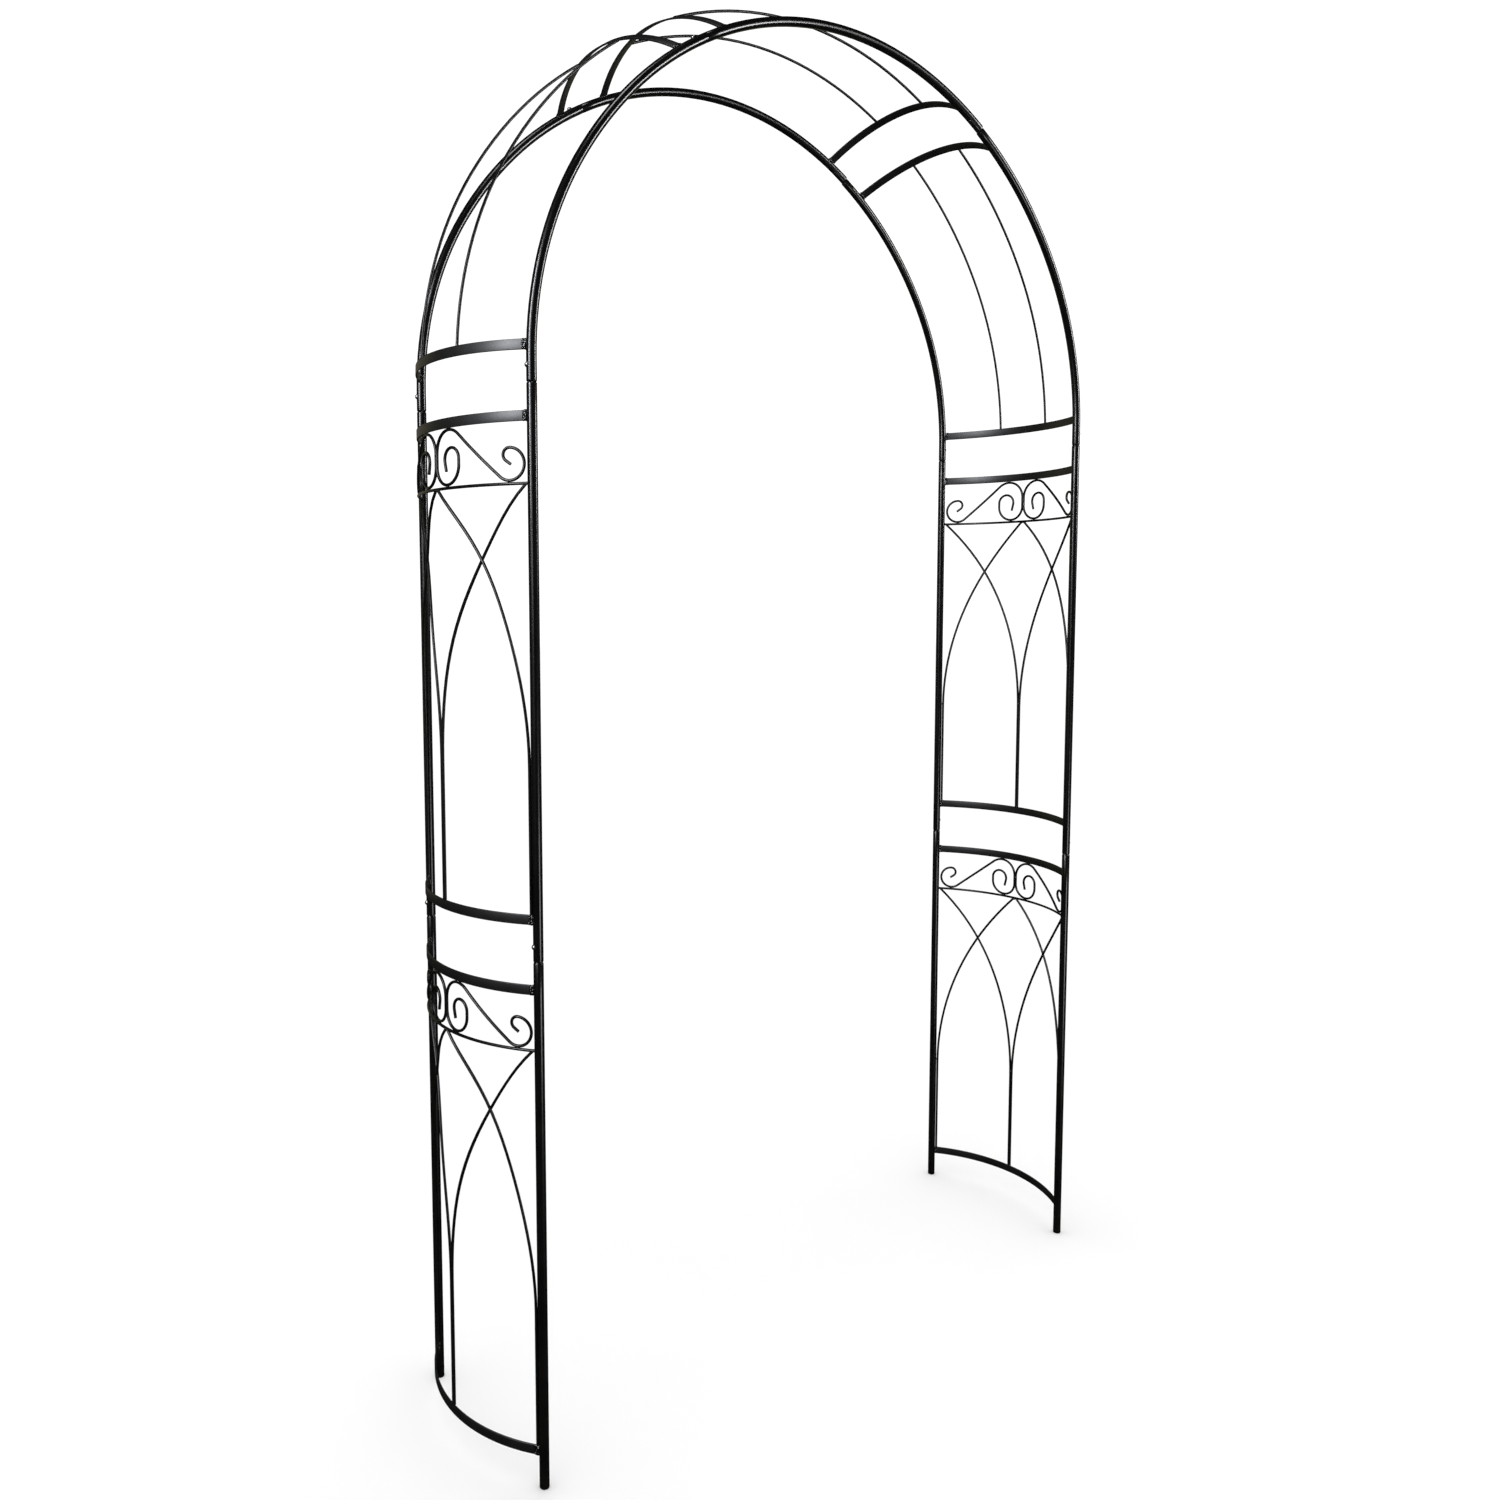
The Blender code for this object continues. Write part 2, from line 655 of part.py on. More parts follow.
def side_panel(side, level, base, tracery_height, scroll_height, shapes, section):
    """The welded infill between the front and rear legs on one side."""
    name = f"{side}_{level}_panel"
    rail_height = tracery_height
    top_height = tracery_height + scroll_height
    for label, height in (("bottom_band", 0.0), ("top_band", top_height)):
        band = add_band(f"{name}_{label}", shapes["band"], shapes["cope"], QUARTER_TURN, section)
        band.location = (HALF_SPAN, 0.0, base + height)
    origin = (HALF_SPAN, 0.0, base)
    rail_shape = rod_mesh(f"{name}_rail", bow_points(0.0), upright=True)
    rail = add_piece(f"{name}_rail", rail_shape, section)
    rail.location = (HALF_SPAN, 0.0, base + rail_height)
    boolean(rail, add_helper(f"{name}_rail_cope", shapes["cope"], rail), "DIFFERENCE")
    flatness = LEFT_TRACERY_FLATNESS if side == "left" else 0.0
    add_tracery(f"{name}_tracery", tracery_height, flatness, section, origin)
    add_scrolls(f"{name}_scrolls", rail_height, top_height, section, origin)


def top_rods(name, low, high, section):
    """Two rods between the facing edges of the bands at two angles."""
    across = TOP_ROD_SPACING / 2
    offset = bow_depth(across)
    for label, y in (("front_rod", -across), ("rear_rod", across)):
        steps = range(TOP_ROD_STEPS + 1)
        angles = [low + (high - low) * i / TOP_ROD_STEPS for i in steps]
        line = [hoop_point(a, offset) + DEPTH * y for a in angles]
        shape = rod_mesh(f"{name}_{label}", line, tilt=math.radians(TOP_ROD_TURN_DEG))
        add_piece(f"{name}_{label}", shape, section)


def band_edge(angle, toward):
    """The angle just past a band's edge, on the side that toward points to."""
    bend = CROWN_RADIUS if abs(angle) <= CROWN_START else HAUNCH_RADIUS
    reach = (BAND_WIDTH / 2 + FIT_GAP) / (bend + bow_depth(TOP_ROD_SPACING / 2))
    return angle + math.copysign(reach, toward)


def haunch_infill(side, sign, shapes, section):
    """The bands and rods over one shoulder of the arch."""
    foot = math.radians(FOOT_BAND_DEG) * sign
    head = math.radians(HEAD_BAND_DEG) * sign
    for label, angle in (("foot_band", foot), ("head_band", head)):
        add_band(f"{side}_haunch_{label}", shapes["band"], shapes["cope"], angle, section)
    top_rods(f"{side}_haunch", band_edge(foot, -sign), band_edge(head, sign), section)


def crown_infill(shapes, section):
    """The bands and rods over the middle of the arch."""
    edge = math.radians(CROWN_BAND_DEG)
    for side, angle in (("left", -edge), ("right", edge)):
        add_band(f"crown_{side}_band", shapes["band"], shapes["cope"], angle, section)
    top_rods("crown", band_edge(-edge, 1.0), band_edge(edge, -1.0), section)


# ---------------------------------------------------------------- hoops


def add_leg(name, mesh, sign, base, y, section):
    """A leg tube; the left legs are turned half round so their outside faces out."""
    leg = add_piece(name, mesh, section)
    leg.location = Vector((sign * HALF_SPAN, y, base))
    leg.rotation_euler = (0.0, 0.0, 0.0 if sign > 0 else math.pi)
    return leg


def add_hoop(row, y, shapes, sections):
    """One hoop: seven tubes, six joints and six screws."""
    tubes = {}
    for side, sign in (("left", -1.0), ("right", 1.0)):
        lower = sections[f"{side}_lower"]
        upper = sections[f"{side}_upper"]
        tubes[f"{side}_lower"] = add_leg(
            f"{row}_{side}_lower_leg", shapes["lower_leg"], sign, 0.0, y, lower
        )
        tubes[f"{side}_upper"] = add_leg(
            f"{row}_{side}_upper_leg", shapes["upper_leg"], sign, LEG_JOINT_HEIGHT, y, upper
        )
        mesh = shapes["left_haunch"] if sign < 0 else shapes["right_haunch"]
        haunch = add_piece(f"{row}_{side}_haunch", mesh, sections[f"{side}_haunch"])
        haunch.rotation_euler = (0.0, 0.0, 0.0 if sign > 0 else math.pi)
        haunch.location = (0.0, y, 0.0)
        tubes[f"{side}_haunch"] = haunch
    crown = add_piece(f"{row}_crown", shapes["crown"], sections["crown"])
    crown.location = (0.0, y, 0.0)
    tubes["crown"] = crown

    for side, sign in (("left", -1.0), ("right", 1.0)):
        leg_line = Vector((sign * HALF_SPAN, y, 0.0))
        for label, height, pair in (
            ("lower", LEG_JOINT_HEIGHT, ("lower", "upper")),
            ("upper", HAUNCH_JOINT_HEIGHT, ("upper", "haunch")),
        ):
            centre = leg_line + Vector((0.0, 0.0, height + SCREW_OFFSET))
            joined = [tubes[f"{side}_{part}"] for part in pair]
            section = sections[f"{side}_{pair[1]}"]
            angle = sign * QUARTER_TURN
            stem = f"{row}_{side}_{label}"
            drill(f"{stem}_hole", shapes["hole"], centre, angle, joined, section)
            add_screw(f"{stem}_screw", shapes["screw"], centre, angle, section)
        # The left haunch is the crown's socket, and the crown is the right haunch's.
        angle = sign * math.radians(CROWN_JOINT_DEG) - SCREW_OFFSET / CROWN_RADIUS
        centre = hoop_point(angle) + DEPTH * y
        joined = [tubes[f"{side}_haunch"], crown]
        section = sections["left_haunch" if sign < 0 else "crown"]
        stem = f"{row}_{side}_crown"
        drill(f"{stem}_hole", shapes["hole"], centre, angle, joined, section)
        add_screw(f"{stem}_screw", shapes["screw"], centre, angle, section)


def main():
    clear_scene()
    upper_leg_length = HAUNCH_JOINT_HEIGHT - LEG_JOINT_HEIGHT
    shapes = {
        "band": band_mesh(),
        "cope": hoop_cope_mesh(),
        "hole": hole_mesh(),
        "screw": screw_profile_mesh(),
        "lower_leg": leg_tube_mesh("lower_leg", LEG_JOINT_HEIGHT),
        "upper_leg": leg_tube_mesh("upper_leg", upper_leg_length),
        "left_haunch": haunch_tube_mesh("left_haunch", has_spigot=False),
        "right_haunch": haunch_tube_mesh("right_haunch", has_spigot=True),
        "crown": crown_tube_mesh("crown"),
    }
    names = [f"{s}_{p}" for s in ("left", "right") for p in ("lower", "upper", "haunch")]
    sections = {name: add_section(f"{name}_section") for name in [*names, "crown"]}
    for row, y in (("front", -HALF_SPACING), ("rear", HALF_SPACING)):
        add_hoop(row, y, shapes, sections)
    levels = (
        ("lower", LOWER_PANEL_HEIGHT, LOWER_TRACERY_HEIGHT, LOWER_SCROLL_HEIGHT),
        ("upper", UPPER_PANEL_HEIGHT, UPPER_TRACERY_HEIGHT, UPPER_SCROLL_HEIGHT),
    )
    for side, turn in (("left", math.pi), ("right", 0.0)):
        for level, base, tracery_height, scroll_height in levels:
            frame = add_section(f"{side}_{level}_infill", turn)
            side_panel(side, level, base, tracery_height, scroll_height, shapes, frame)
    haunch_infill("left", -1.0, shapes, sections["left_haunch"])
    haunch_infill("right", 1.0, shapes, sections["right_haunch"])
    crown_infill(shapes, sections["crown"])


main()
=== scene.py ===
"""Looks for the metal trellis arch: coated steel tube, strap, rod and weld.

Every welded piece of the arch is modelled again here in fine detail around
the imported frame, dressed in a semi-gloss black powder coat, and set on a pale
studio floor. Units are metres, +Z is up, X runs across the opening and Y runs
through it.
"""

import logging
import math
import random
from dataclasses import dataclass, field
from enum import Enum

import bpy
from mathutils import Matrix, Vector

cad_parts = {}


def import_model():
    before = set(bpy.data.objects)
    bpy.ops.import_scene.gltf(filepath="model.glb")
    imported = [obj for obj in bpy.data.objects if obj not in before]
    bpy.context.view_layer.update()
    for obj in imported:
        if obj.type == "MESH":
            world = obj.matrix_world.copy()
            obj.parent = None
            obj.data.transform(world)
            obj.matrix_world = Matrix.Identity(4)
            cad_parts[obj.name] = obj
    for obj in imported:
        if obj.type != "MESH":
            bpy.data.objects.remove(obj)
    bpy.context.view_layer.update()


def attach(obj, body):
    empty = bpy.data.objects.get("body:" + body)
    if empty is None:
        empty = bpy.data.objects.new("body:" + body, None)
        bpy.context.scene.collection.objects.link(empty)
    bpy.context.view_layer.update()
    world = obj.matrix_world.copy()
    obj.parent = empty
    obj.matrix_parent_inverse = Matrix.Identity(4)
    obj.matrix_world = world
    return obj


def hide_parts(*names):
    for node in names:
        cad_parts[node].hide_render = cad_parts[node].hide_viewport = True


log = logging.getLogger("trellis_arch")

Piece = bpy.types.Object
Tree = bpy.types.NodeTree
Socket = bpy.types.NodeSocket
Triple = tuple[float, float, float]
Colour = tuple[float, float, float, float]
Profile = tuple[tuple[float, float], ...]

MM = 0.001
QUARTER_TURN = math.pi / 2
BODY = "root"


# ---- options


class Named(Enum):
    """Options whose names stand in the names of their pieces."""

    @property
    def label(self) -> str:
        """The option's name in lower case."""
        return self.name.lower()


class Side(Named):
    """The two sides of the opening, with the sign of their X."""

    LEFT = -1.0
    RIGHT = 1.0

    @property
    def turn(self) -> float:
        """The turn about Z that faces a section to this side."""
        return math.pi if self is Side.LEFT else 0.0


class Row(Named):
    """The two hoops, with the sign of their Y."""

    FRONT = -1.0
    REAR = 1.0


class Slot(Enum):
    """Two material slots, by name."""

    COAT = "coat"
    SCREW = "screw"


class Metal(Enum):
    """The finishes that the pieces wear."""

    TUBE = "tube"
    STRAP = "strap"
    ROD = "rod"
    WELD = "weld"
    SCREW = "screw"


# ---- sizes


@dataclass(frozen=True)
class HoopLine:
    """The three-centred centre line that both hoops follow."""

    span: float = 1.346
    spacing: float = 0.361
    leg_joint: float = 0.858
    haunch_joint: float = 1.737
    spring: float = 1.772
    haunch_radius: float = 0.5715
    crown_start: float = math.radians(58.2)
    crown_joint: float = math.radians(29.5)

    @property
    def half_span(self) -> float:
        """Half the distance between a hoop's two legs."""
        return self.span / 2

    @property
    def half_spacing(self) -> float:
        """Half the distance between the two hoops."""
        return self.spacing / 2

    @property
    def crown_radius(self) -> float:
        """Bend radius of the crown's centre line."""
        rest = self.half_span - self.haunch_radius
        return self.haunch_radius + rest / math.sin(self.crown_start)

    @property
    def crown_centre(self) -> float:
        """Height of the crown's bend centre."""
        drop = (self.crown_radius - self.haunch_radius) * math.cos(self.crown_start)
        return self.spring - drop

    def point(self, angle: float, offset: float = 0.0) -> Vector:
        """A point of the hoop's line, or of one outside it.

        Args:
            angle: The angle from the hoop's top, positive to the right.
            offset: How far outside the centre line the point lies.

        Returns:
            The point, at Y = 0.
        """
        if abs(angle) <= self.crown_start:
            centre = Vector((0.0, 0.0, self.crown_centre))
            return centre + outward(angle) * (self.crown_radius + offset)
        reach = self.half_span - self.haunch_radius
        centre = Vector((math.copysign(reach, angle), 0.0, self.spring))
        return centre + outward(angle) * (self.haunch_radius + offset)


@dataclass(frozen=True)
class Bow:
    """The bowed surface that bands, rails, tracery and scrolls lie in."""

    half_width: float = 0.1805
    rise: float = 0.066

    @property
    def radius(self) -> float:
        """Radius of the bow."""
        return (self.half_width**2 + self.rise**2) / (2 * self.rise)

    @property
    def half_angle(self) -> float:
        """Half of the angle that the bow spans."""
        return math.asin(self.half_width / self.radius)

    @property
    def half_arc(self) -> float:
        """Half of the bow's length, measured along it."""
        return self.radius * self.half_angle

    def point(self, arc: float, height: float, layer: float = 0.0) -> Vector:
        """A point of the bow in a section's own frame, X outward.

        Args:
            arc: The distance along the bow from its middle.
            height: The height in the section.
            layer: How far outside the bow the point lies.

        Returns:
            The point.
        """
        turn = arc / self.radius
        reach = self.radius + layer
        x = self.rise - self.radius + reach * math.cos(turn)
        return Vector((x, reach * math.sin(turn), height))

    def depth(self, across: float) -> float:
        """How far the bow stands out at a distance from its middle along Y."""
        return self.rise - self.radius + math.sqrt(self.radius**2 - across**2)


@dataclass(frozen=True)
class Stock:
    """The tube, strap, rod and screws that the arch is made of."""

    tube_radius: float = 0.008
    tube_wall: float = 0.0012
    spigot_radius: float = 0.00645
    spigot_length: float = 0.034
    fit_gap: float = 0.0003
    strap_width: float = 0.016
    strap_thickness: float = 0.003
    strap_edge: float = 0.0007
    rod_radius: float = 0.0025
    top_rod_radius: float = 0.0025
    top_rod_sink: float = 0.00015
    screw_offset: float = 0.024
    screw_seat: float = 0.0079
    head_radius: float = 0.0043
    head_height: float = 0.0036
    shank_radius: float = 0.0025


def outward(angle: float) -> Vector:
    """The hoop's outward direction at an angle from its top."""
    return Vector((math.sin(angle), 0.0, math.cos(angle)))


HOOP = HoopLine()
BOW = Bow()
STOCK = Stock()


# ---- finishes


def linear(code: str) -> Colour:
    """Turns an sRGB hex colour into the linear values that Blender takes.

    Args:
        code: Six hex digits, with or without a leading hash.

    Returns:
        Red, green, blue and an alpha of one.
    """
    digits = code.lstrip("#")
    shares = [int(digits[i : i + 2], 16) / 255 for i in (0, 2, 4)]
    curve = [
        share / 12.92 if share <= 0.04045 else ((share + 0.055) / 1.055) ** 2.4
        for share in shares
    ]
    return (*curve, 1.0)


BLACK = linear("#000000")
WHITE = linear("#ffffff")


def add_node(
    tree: Tree,
    kind: str,
    settings: dict[str, object] | None = None,
    values: dict[str | int, object] | None = None,
    links: dict[str | int, Socket] | None = None,
    stops: tuple[tuple[float, Colour], ...] = (),
) -> bpy.types.Node:
    """Adds one node to a tree.

    Args:
        tree: The node tree.
        kind: Blender's name of the node type.
        settings: Properties of the node.
        values: Values of its input sockets, by name or index.
        links: Sockets of other nodes that feed its inputs.
        stops: The places and colours of its two stops, if it has a ramp.

    Returns:
        The new node.
    """
    node = tree.nodes.new(kind)
    for name, value in (settings or {}).items():
        setattr(node, name, value)
    for name, value in (values or {}).items():
        node.inputs[name].default_value = value
    for name, socket in (links or {}).items():
        tree.links.new(socket, node.inputs[name])
    for index, (place, colour) in enumerate(stops):
        mark = node.color_ramp.elements[index]
        mark.position, mark.color = place, colour
    return node


class Finish:
    """A finish that is made once, as a node material."""

    name: str

    def surface(self, tree: Tree, place: Socket) -> Socket:
        """Adds the finish's own nodes.

        Args:
            tree: The material's node tree.
            place: The piece's Object coordinates.

        Returns:
            The shader.
        """
        raise NotImplementedError

    def make(self) -> bpy.types.Material:
        """Makes the material round the finish's own nodes.

        Returns:
            The material.
        """
        material = bpy.data.materials.new(self.name)
        material.use_nodes = True
        tree = material.node_tree
        tree.nodes.clear()
        place = add_node(tree, "ShaderNodeTexCoord").outputs["Object"]
        shader = self.surface(tree, place)
        add_node(tree, "ShaderNodeOutputMaterial", links={"Surface": shader})
        return material


@dataclass(frozen=True)
class SteelSkin(Finish):
    """The skin of a mild steel piece: baked black powder, or zinc plate.

    To the eye the semi-gloss polyester powder is a deep black skin with a fine
    orange peel, so its highlights have soft, slightly broken edges. It is a
    little greyer along sharp edges. Zinc plate is bright and faintly clouded.
    """

    name: str
    deep: str = "#050506"
    warm: str = "#0d0c0a"
    edge: str = "#201f1e"
    roughness: float = 0.25
    spread: float = 0.06
    specular: float = 0.5
    metallic: float = 0.0
    relief: float = 0.16
    relief_mm: float = 0.25
    peel_mm: float = 2.4
    grain_mm: float = 0.7
    cloud_mm: float = 70.0
    cloud_range: tuple[float, float] = (0.34, 0.68)
    mottle_range: tuple[float, float] = (0.7, 1.3)
    grain_share: float = 0.15
    edge_range: tuple[float, float] = (0.53, 0.63)

    def surface(self, tree: Tree, place: Socket) -> Socket:
        """Adds the clouding, the orange peel, the grain and the worn edges.

        Args:
            tree: The material's node tree.
            place: The piece's Object coordinates.

        Returns:
            The shader.
        """
        # Noise has one feature per unit of scale, so scale is 1000 / size in mm.
        cloud, peel, grain = (
            add_node(
                tree,
                "ShaderNodeTexNoise",
                values={"Scale": 1000 / size, "Detail": detail, "Roughness": rough},
                links={"Vector": place},
            ).outputs["Fac"]
            for size, detail, rough in (
                (self.cloud_mm, 3.0, 0.6),
                (self.peel_mm, 1.0, 0.4),
                (self.grain_mm, 2.0, 0.7),
            )
        )
        sharp = add_node(tree, "ShaderNodeNewGeometry").outputs["Pointiness"]
        clouded, worn = (
            add_node(
                tree,
                "ShaderNodeValToRGB",
                links={"Fac": feed},
                stops=tuple(zip(places, colours)),
            ).outputs["Color"]
            for feed, places, colours in (
                (cloud, self.cloud_range, (linear(self.deep), linear(self.warm))),
                (sharp, self.edge_range, (BLACK, WHITE)),
            )
        )
        patch, mottle, height = (
            add_node(
                tree, "ShaderNodeMath", {"operation": operation}, values, links
            ).outputs["Value"]
            for operation, values, links in (
                ("MULTIPLY", None, {0: worn, 1: grain}),
                ("ADD", None, {0: cloud, 1: grain}),
                ("MULTIPLY_ADD", {1: self.grain_share}, {0: grain, 2: peel}),
            )
        )
        colour = add_node(
            tree,
            "ShaderNodeMixRGB",
            values={"Color2": linear(self.edge)},
            links={"Fac": patch, "Color1": clouded},
        )
        gloss = add_node(
            tree,
            "ShaderNodeMapRange",
            values={
                "From Min": self.mottle_range[0],
                "From Max": self.mottle_range[1],
                "To Min": self.roughness - self.spread / 2,
                "To Max": self.roughness + self.spread,
            },
            links={"Value": mottle},
        )
        relief = add_node(
            tree,
            "ShaderNodeBump",
            values={"Strength": self.relief, "Distance": self.relief_mm * MM},
            links={"Height": height},
        )
        return add_node(
            tree,
            "ShaderNodeBsdfPrincipled",
            values={
                "Metallic": self.metallic,
                "IOR": 1.5,
                "Specular IOR Level": self.specular,
            },
            links={
                "Base Color": colour.outputs["Color"],
                "Roughness": gloss.outputs["Result"],
                "Normal": relief.outputs["Normal"],
            },
        ).outputs["BSDF"]


FINISHES: dict[Metal, SteelSkin] = {
    # Drawn tube is smooth under its coat, so it holds the longest highlights.
    Metal.TUBE: SteelSkin(
        "black_powder_coat_on_drawn_tube", roughness=0.21, spread=0.03, relief=0.04
    ),
    # Rolled strap has a flatter, duller skin, and its sheared edges show greyer.
    Metal.STRAP: SteelSkin(
        "black_powder_coat_on_rolled_strap",
        warm="#12100c",
        roughness=0.4,
        specular=0.6,
        peel_mm=3.0,
        edge_range=(0.51, 0.61),
    ),
    # Thin rod takes a thicker, rounder coat for its size.
    Metal.ROD: SteelSkin(
        "black_powder_coat_on_round_rod",
        roughness=0.3,
        specular=0.36,
        peel_mm=1.8,
        relief=0.05,
    ),
    # The coat runs over rippled weld metal, which breaks the light into sparks.
    Metal.WELD: SteelSkin(
        "black_powder_coat_on_weld_bead",
        roughness=0.16,
        specular=0.8,
        peel_mm=1.4,
        grain_mm=0.6,
        relief=0.8,
    ),
    # Zinc-plated steel screws are the brightest pieces, and their recess is rubbed.
    Metal.SCREW: SteelSkin(
        "zinc_plated_steel_screw",
        deep="#8c8c90",
        warm="#979590",
        edge="#a9a7a3",
        roughness=0.3,
        spread=0.05,
        specular=0.6,
        metallic=1.0,
        peel_mm=1.2,
        grain_mm=0.4,
        relief=0.08,
        edge_range=(0.52, 0.62),
    ),
}


@dataclass(frozen=True)
class StudioPaint(Finish):
    """Matt white paint of the studio floor, faintly marked by rolling."""

    name: str = "matt_white_floor_paint"
    light: str = "#f8f8f8"
    shade: str = "#f5f5f5"
    mark_mm: float = 900.0
    mark_range: tuple[float, float] = (0.3, 0.7)
    roughness: float = 0.9

    def surface(self, tree: Tree, place: Socket) -> Socket:
        """Adds the roller's marks and the matt paint.

        Args:
            tree: The material's node tree.
            place: The floor's Object coordinates.

        Returns:
            The shader.
        """
        marks = add_node(
            tree,
            "ShaderNodeTexNoise",
            values={"Scale": 1000 / self.mark_mm, "Detail": 2.0},
            links={"Vector": place},
        )
        colour = add_node(
            tree,
            "ShaderNodeValToRGB",
            links={"Fac": marks.outputs["Fac"]},
            stops=tuple(zip(self.mark_range, (linear(self.shade), linear(self.light)))),
        )
        return add_node(
            tree,
            "ShaderNodeBsdfPrincipled",
            values={"Roughness": self.roughness, "Specular IOR Level": 0.0},
            links={"Base Color": colour.outputs["Color"]},
        ).outputs["BSDF"]


# ---- bench tools


def select_only(*pieces: Piece) -> None:
    """Selects these pieces alone and makes the first one active.

    Args:
        pieces: The pieces.
    """
    bpy.ops.object.select_all(action="DESELECT")
    for piece in pieces:
        piece.select_set(True)
    bpy.context.view_layer.objects.active = pieces[0]


def shape(piece: Piece, kind: str = "") -> None:
    """Opens a piece in edit mode, with all of it selected.

    Args:
        piece: The piece.
        kind: What it is selected by, EDGE or FACE, where that matters.
    """
    select_only(piece)
    bpy.ops.object.mode_set(mode="EDIT")
    if kind:
        bpy.ops.mesh.select_mode(type=kind)
    bpy.ops.mesh.select_all(action="SELECT")


def leave() -> None:
    """Leaves edit mode."""
    bpy.ops.object.mode_set(mode="OBJECT")


def settle(piece: Piece) -> None:
    """Puts a piece's place, turn and size into its mesh."""
    select_only(piece)
    bpy.ops.object.transform_apply(location=True, rotation=True, scale=True)


def smooth(piece: Piece, degrees: float = 35.0) -> None:
    """Shades a piece smooth, except across edges sharper than this."""
    select_only(piece)
    bpy.ops.object.shade_smooth_by_angle(angle=math.radians(degrees))


def apply_modifier(piece: Piece, kind: str, **settings: object) -> None:
    """Adds a modifier to a piece and applies it at once.

    Args:
        piece: The piece.
        kind: Blender's name of the modifier type.
        settings: The modifier's properties.
    """
    select_only(piece)
    modifier = piece.modifiers.new(kind.title(), kind)
    for name, value in settings.items():
        setattr(modifier, name, value)
    bpy.ops.object.modifier_apply(modifier=modifier.name)


def join(name: str, pieces: list[Piece]) -> Piece:
    """Joins pieces into the first of them.

    Args:
        name: The name of the joined piece.
        pieces: The pieces.

    Returns:
        The joined piece.
    """
    select_only(*pieces)
    if len(pieces) > 1:
        bpy.ops.object.join()
    pieces[0].name = name
    return pieces[0]


def copy_of(pattern: Piece, name: str, where: Matrix) -> Piece:
    """Copies a modelled pattern to a place, with a mesh of its own.

    Args:
        pattern: The piece that was modelled.
        name: The copy's name.
        where: The copy's place.

    Returns:
        The copy, with its place in its mesh.
    """
    twin = pattern.copy()
    twin.data = pattern.data.copy()
    twin.name = name
    bpy.context.scene.collection.objects.link(twin)
    twin.matrix_world = where
    settle(twin)
    return twin


def discard(*pieces: Piece) -> None:
    """Removes patterns that have been copied."""
    for piece in pieces:
        bpy.data.objects.remove(piece, do_unlink=True)


class Bender:
    """A bar drawn out on a flat bench, the XZ plane.

    The bar grows from its last ring, by straight pulls, by tapers and by bends
    round a former. Its heading is the angle from +X towards +Z.
    """

    def __init__(
        self,
        name: str,
        start: tuple[float, float],
        heading: float,
        radius: float,
        sides: int = 14,
        solid: bool = True,
    ) -> None:
        """Sets the first ring on the bench.

        Args:
            name: The piece's name.
            start: The X and Z of the bar's start.
            heading: The direction in which the bar grows.
            radius: The radius of the first ring.
            sides: The count of the ring's sides.
            solid: Whether the bar has ends, or is a tube's open skin.
        """
        self.x, self.z = start
        self.heading = heading
        self.radius = radius
        bpy.ops.object.select_all(action="DESELECT")
        bpy.ops.mesh.primitive_circle_add(
            vertices=sides,
            radius=radius,
            fill_type="NGON" if solid else "NOTHING",
            location=(self.x, 0.0, self.z),
            rotation=(0.0, QUARTER_TURN - heading, 0.0),
        )
        self.piece = bpy.context.object
        self.piece.name = name
        shape(self.piece, "FACE" if solid else "EDGE")

    def pull(self, length: float, radius: float | None = None, steps: int = 1) -> None:
        """Draws the bar straight on, and to a new radius at its end.

        Args:
            length: The length to draw.
            radius: The new radius, if it changes.
            steps: The count of equal pulls.
        """
        for _ in range(steps):
            dx = math.cos(self.heading) * length / steps
            dz = math.sin(self.heading) * length / steps
            self.x += dx
            self.z += dz
            bpy.ops.mesh.extrude_region()
            bpy.ops.transform.translate(value=(dx, 0.0, dz))
        if radius is not None:
            share = radius / self.radius
            bpy.ops.transform.resize(
                value=(share, share, share), center_override=(self.x, 0.0, self.z)
            )
            self.radius = radius

    def profile(self, steps: Profile) -> None:
        """Draws a run of tapers, each given by its length and end radius."""
        for length, radius in steps:
            self.pull(length, radius)

    def bend(self, radius: float, sweep: float, step: float = math.radians(2.0)) -> None:
        """Bends the bar round a former.

        Args:
            radius: The bend's centre-line radius.
            sweep: The angle, to the left for a positive one.
            step: The longest bend between two rings.
        """
        side = math.copysign(1.0, sweep)
        centre_x = self.x - side * radius * math.sin(self.heading)
        centre_z = self.z + side * radius * math.cos(self.heading)
        bpy.ops.mesh.spin(
            steps=max(2, math.ceil(abs(sweep) / step)),
            angle=sweep,
            center=(centre_x, 0.0, centre_z),
            axis=(0.0, 1.0, 0.0),
            dupli=False,
            use_auto_merge=False,
        )
        self.heading += sweep
        self.x = centre_x + side * radius * math.sin(self.heading)
        self.z = centre_z - side * radius * math.cos(self.heading)

    def finish(self) -> Piece:
        """Ends the bar.

        Returns:
            The piece, with its place in its mesh and its faces outward.
        """
        bpy.ops.mesh.select_all(action="SELECT")
        bpy.ops.mesh.normals_make_consistent(inside=False)
        leave()
        settle(self.piece)
        return self.piece


def backwards(steps: Profile, first: float) -> Profile:
    """Turns a run of tapers round, so that it is drawn from its other end.

    Args:
        steps: The tapers, each with its length and end radius.
        first: The radius that the run starts from.

    Returns:
        The turned run.
    """
    radii = [first] + [radius for _, radius in steps[:-1]]
    return tuple((length, end) for (length, _), end in zip(steps[::-1], radii[::-1]))


